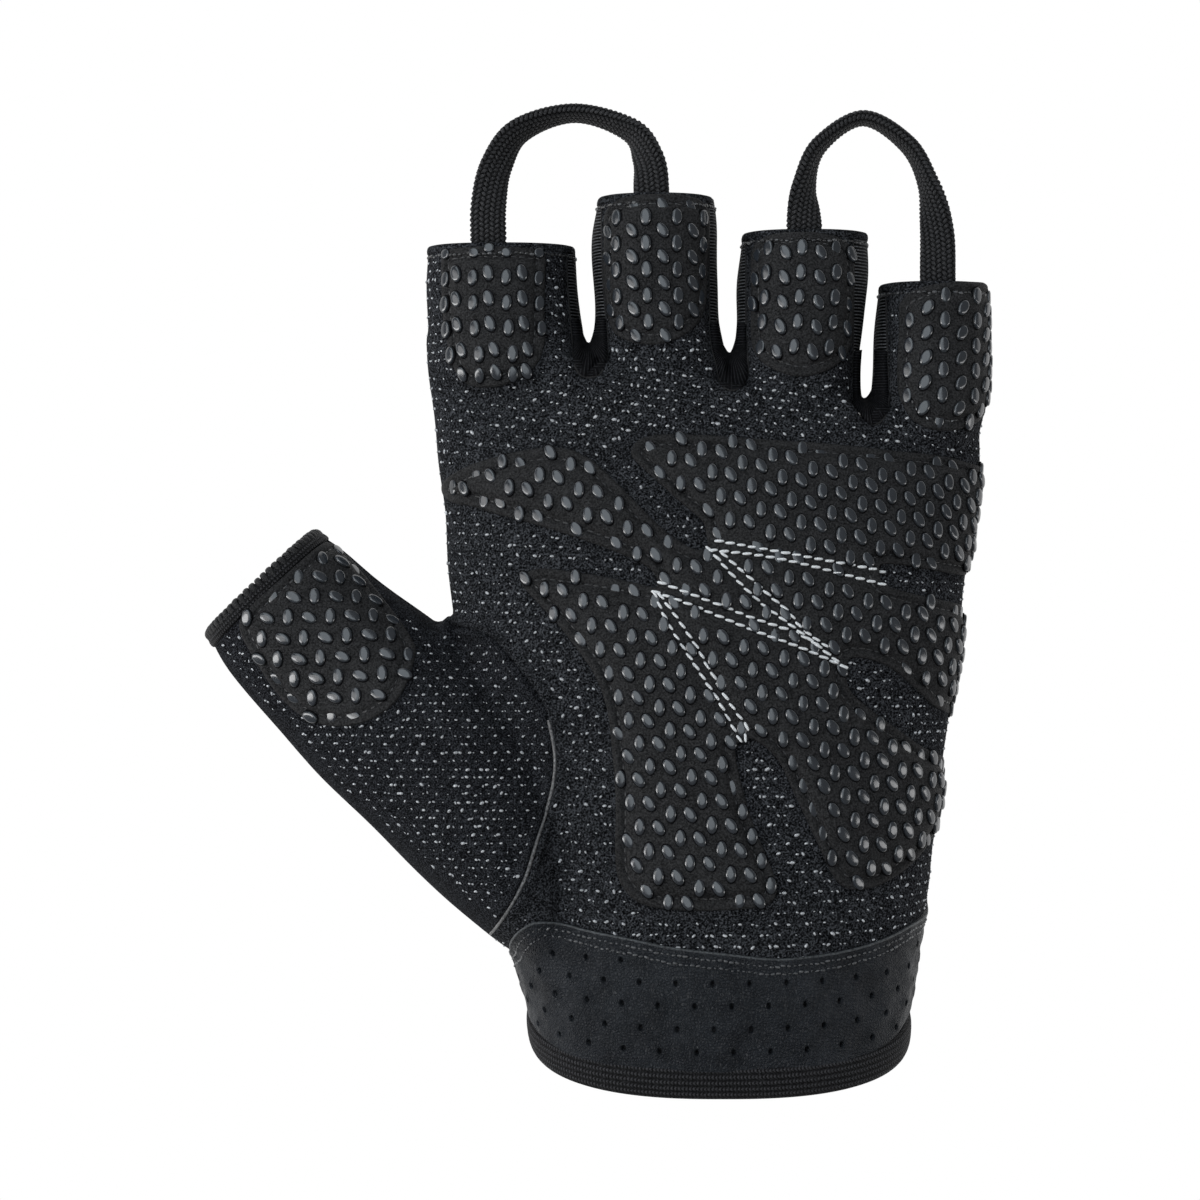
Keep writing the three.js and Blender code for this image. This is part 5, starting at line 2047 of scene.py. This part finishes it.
# place, size in metres, power in watts and colour of each light
lights = {
    "leftStrip": ((-0.8, -0.1, 0.31), (0.22, 1.1), 5.0, (1, 1, 1)),
    "rightStrip": ((0.8, -0.1, 0.27), (0.17, 0.9), 1.6, (1, 1, 1)),
    "overheadLeft": ((-0.85, 0.2, 0.8), (0.4, 1.0), 2.6, (1, 1, 1)),
    "topSheet": ((-0.25, 0.65, 1.1), (0.95, 2.1), 9.4, (0.84, 0.93, 1.0)),
}
lightTarget = Vector((0, 0, 0.02))


def makeCamera():
    data = bpy.data.cameras.new("photo")
    data.lens = studio["lens"]
    data.sensor_width = studio["sensor"]
    data.clip_end = studio["farthest"]
    camera = bpy.data.objects.new("photo", data)
    camera.location = (0, 0, (lensHeight + sideLevel) * mm)
    bpy.context.scene.collection.objects.link(camera)
    bpy.context.scene.camera = camera


def areaLight(name, place, size, power, colour):
    data = bpy.data.lights.new(name, "AREA")
    data.color = colour
    data.shape = "RECTANGLE"
    data.size, data.size_y = size
    data.energy = power
    ob = bpy.data.objects.new(name, data)
    ob.location = place
    ob.rotation_euler = (lightTarget - Vector(place)).to_track_quat("-Z", "Y").to_euler()
    bpy.context.scene.collection.objects.link(ob)


def floorAndWorld():
    far, down = studio["floorHalf"], studio["floorDown"]
    corners = [(-far, -far, -down), (far, -far, -down), (far, far, -down), (-far, far, -down)]
    floor = meshObject("floor", corners, [(0, 1, 2, 3)], False)
    made = bpy.data.materials.new("floor")
    made.use_nodes = True
    tree = made.node_tree
    glow = node(tree, "ShaderNodeEmission", {"Color": (1, 1, 1, 1), "Strength": 1.0})
    tree.links.new(glow.outputs[0], tree.nodes["Material Output"].inputs["Surface"])
    floor.data.materials.append(made)
    world = bpy.data.worlds.new("studio")
    world.use_nodes = True
    world.node_tree.nodes["Background"].inputs["Color"].default_value = (1, 1, 1, 1)
    world.node_tree.nodes["Background"].inputs["Strength"].default_value = studio["world"]
    bpy.context.scene.world = world


for shape in (dotShape, discShape, threadShape, fleckShape):
    bpy.data.objects.remove(shape)
makeCamera()
floorAndWorld()
for name, given in lights.items():
    areaLight(name, *given)
bpy.context.scene.view_settings.view_transform = "Standard"
print("studio made")
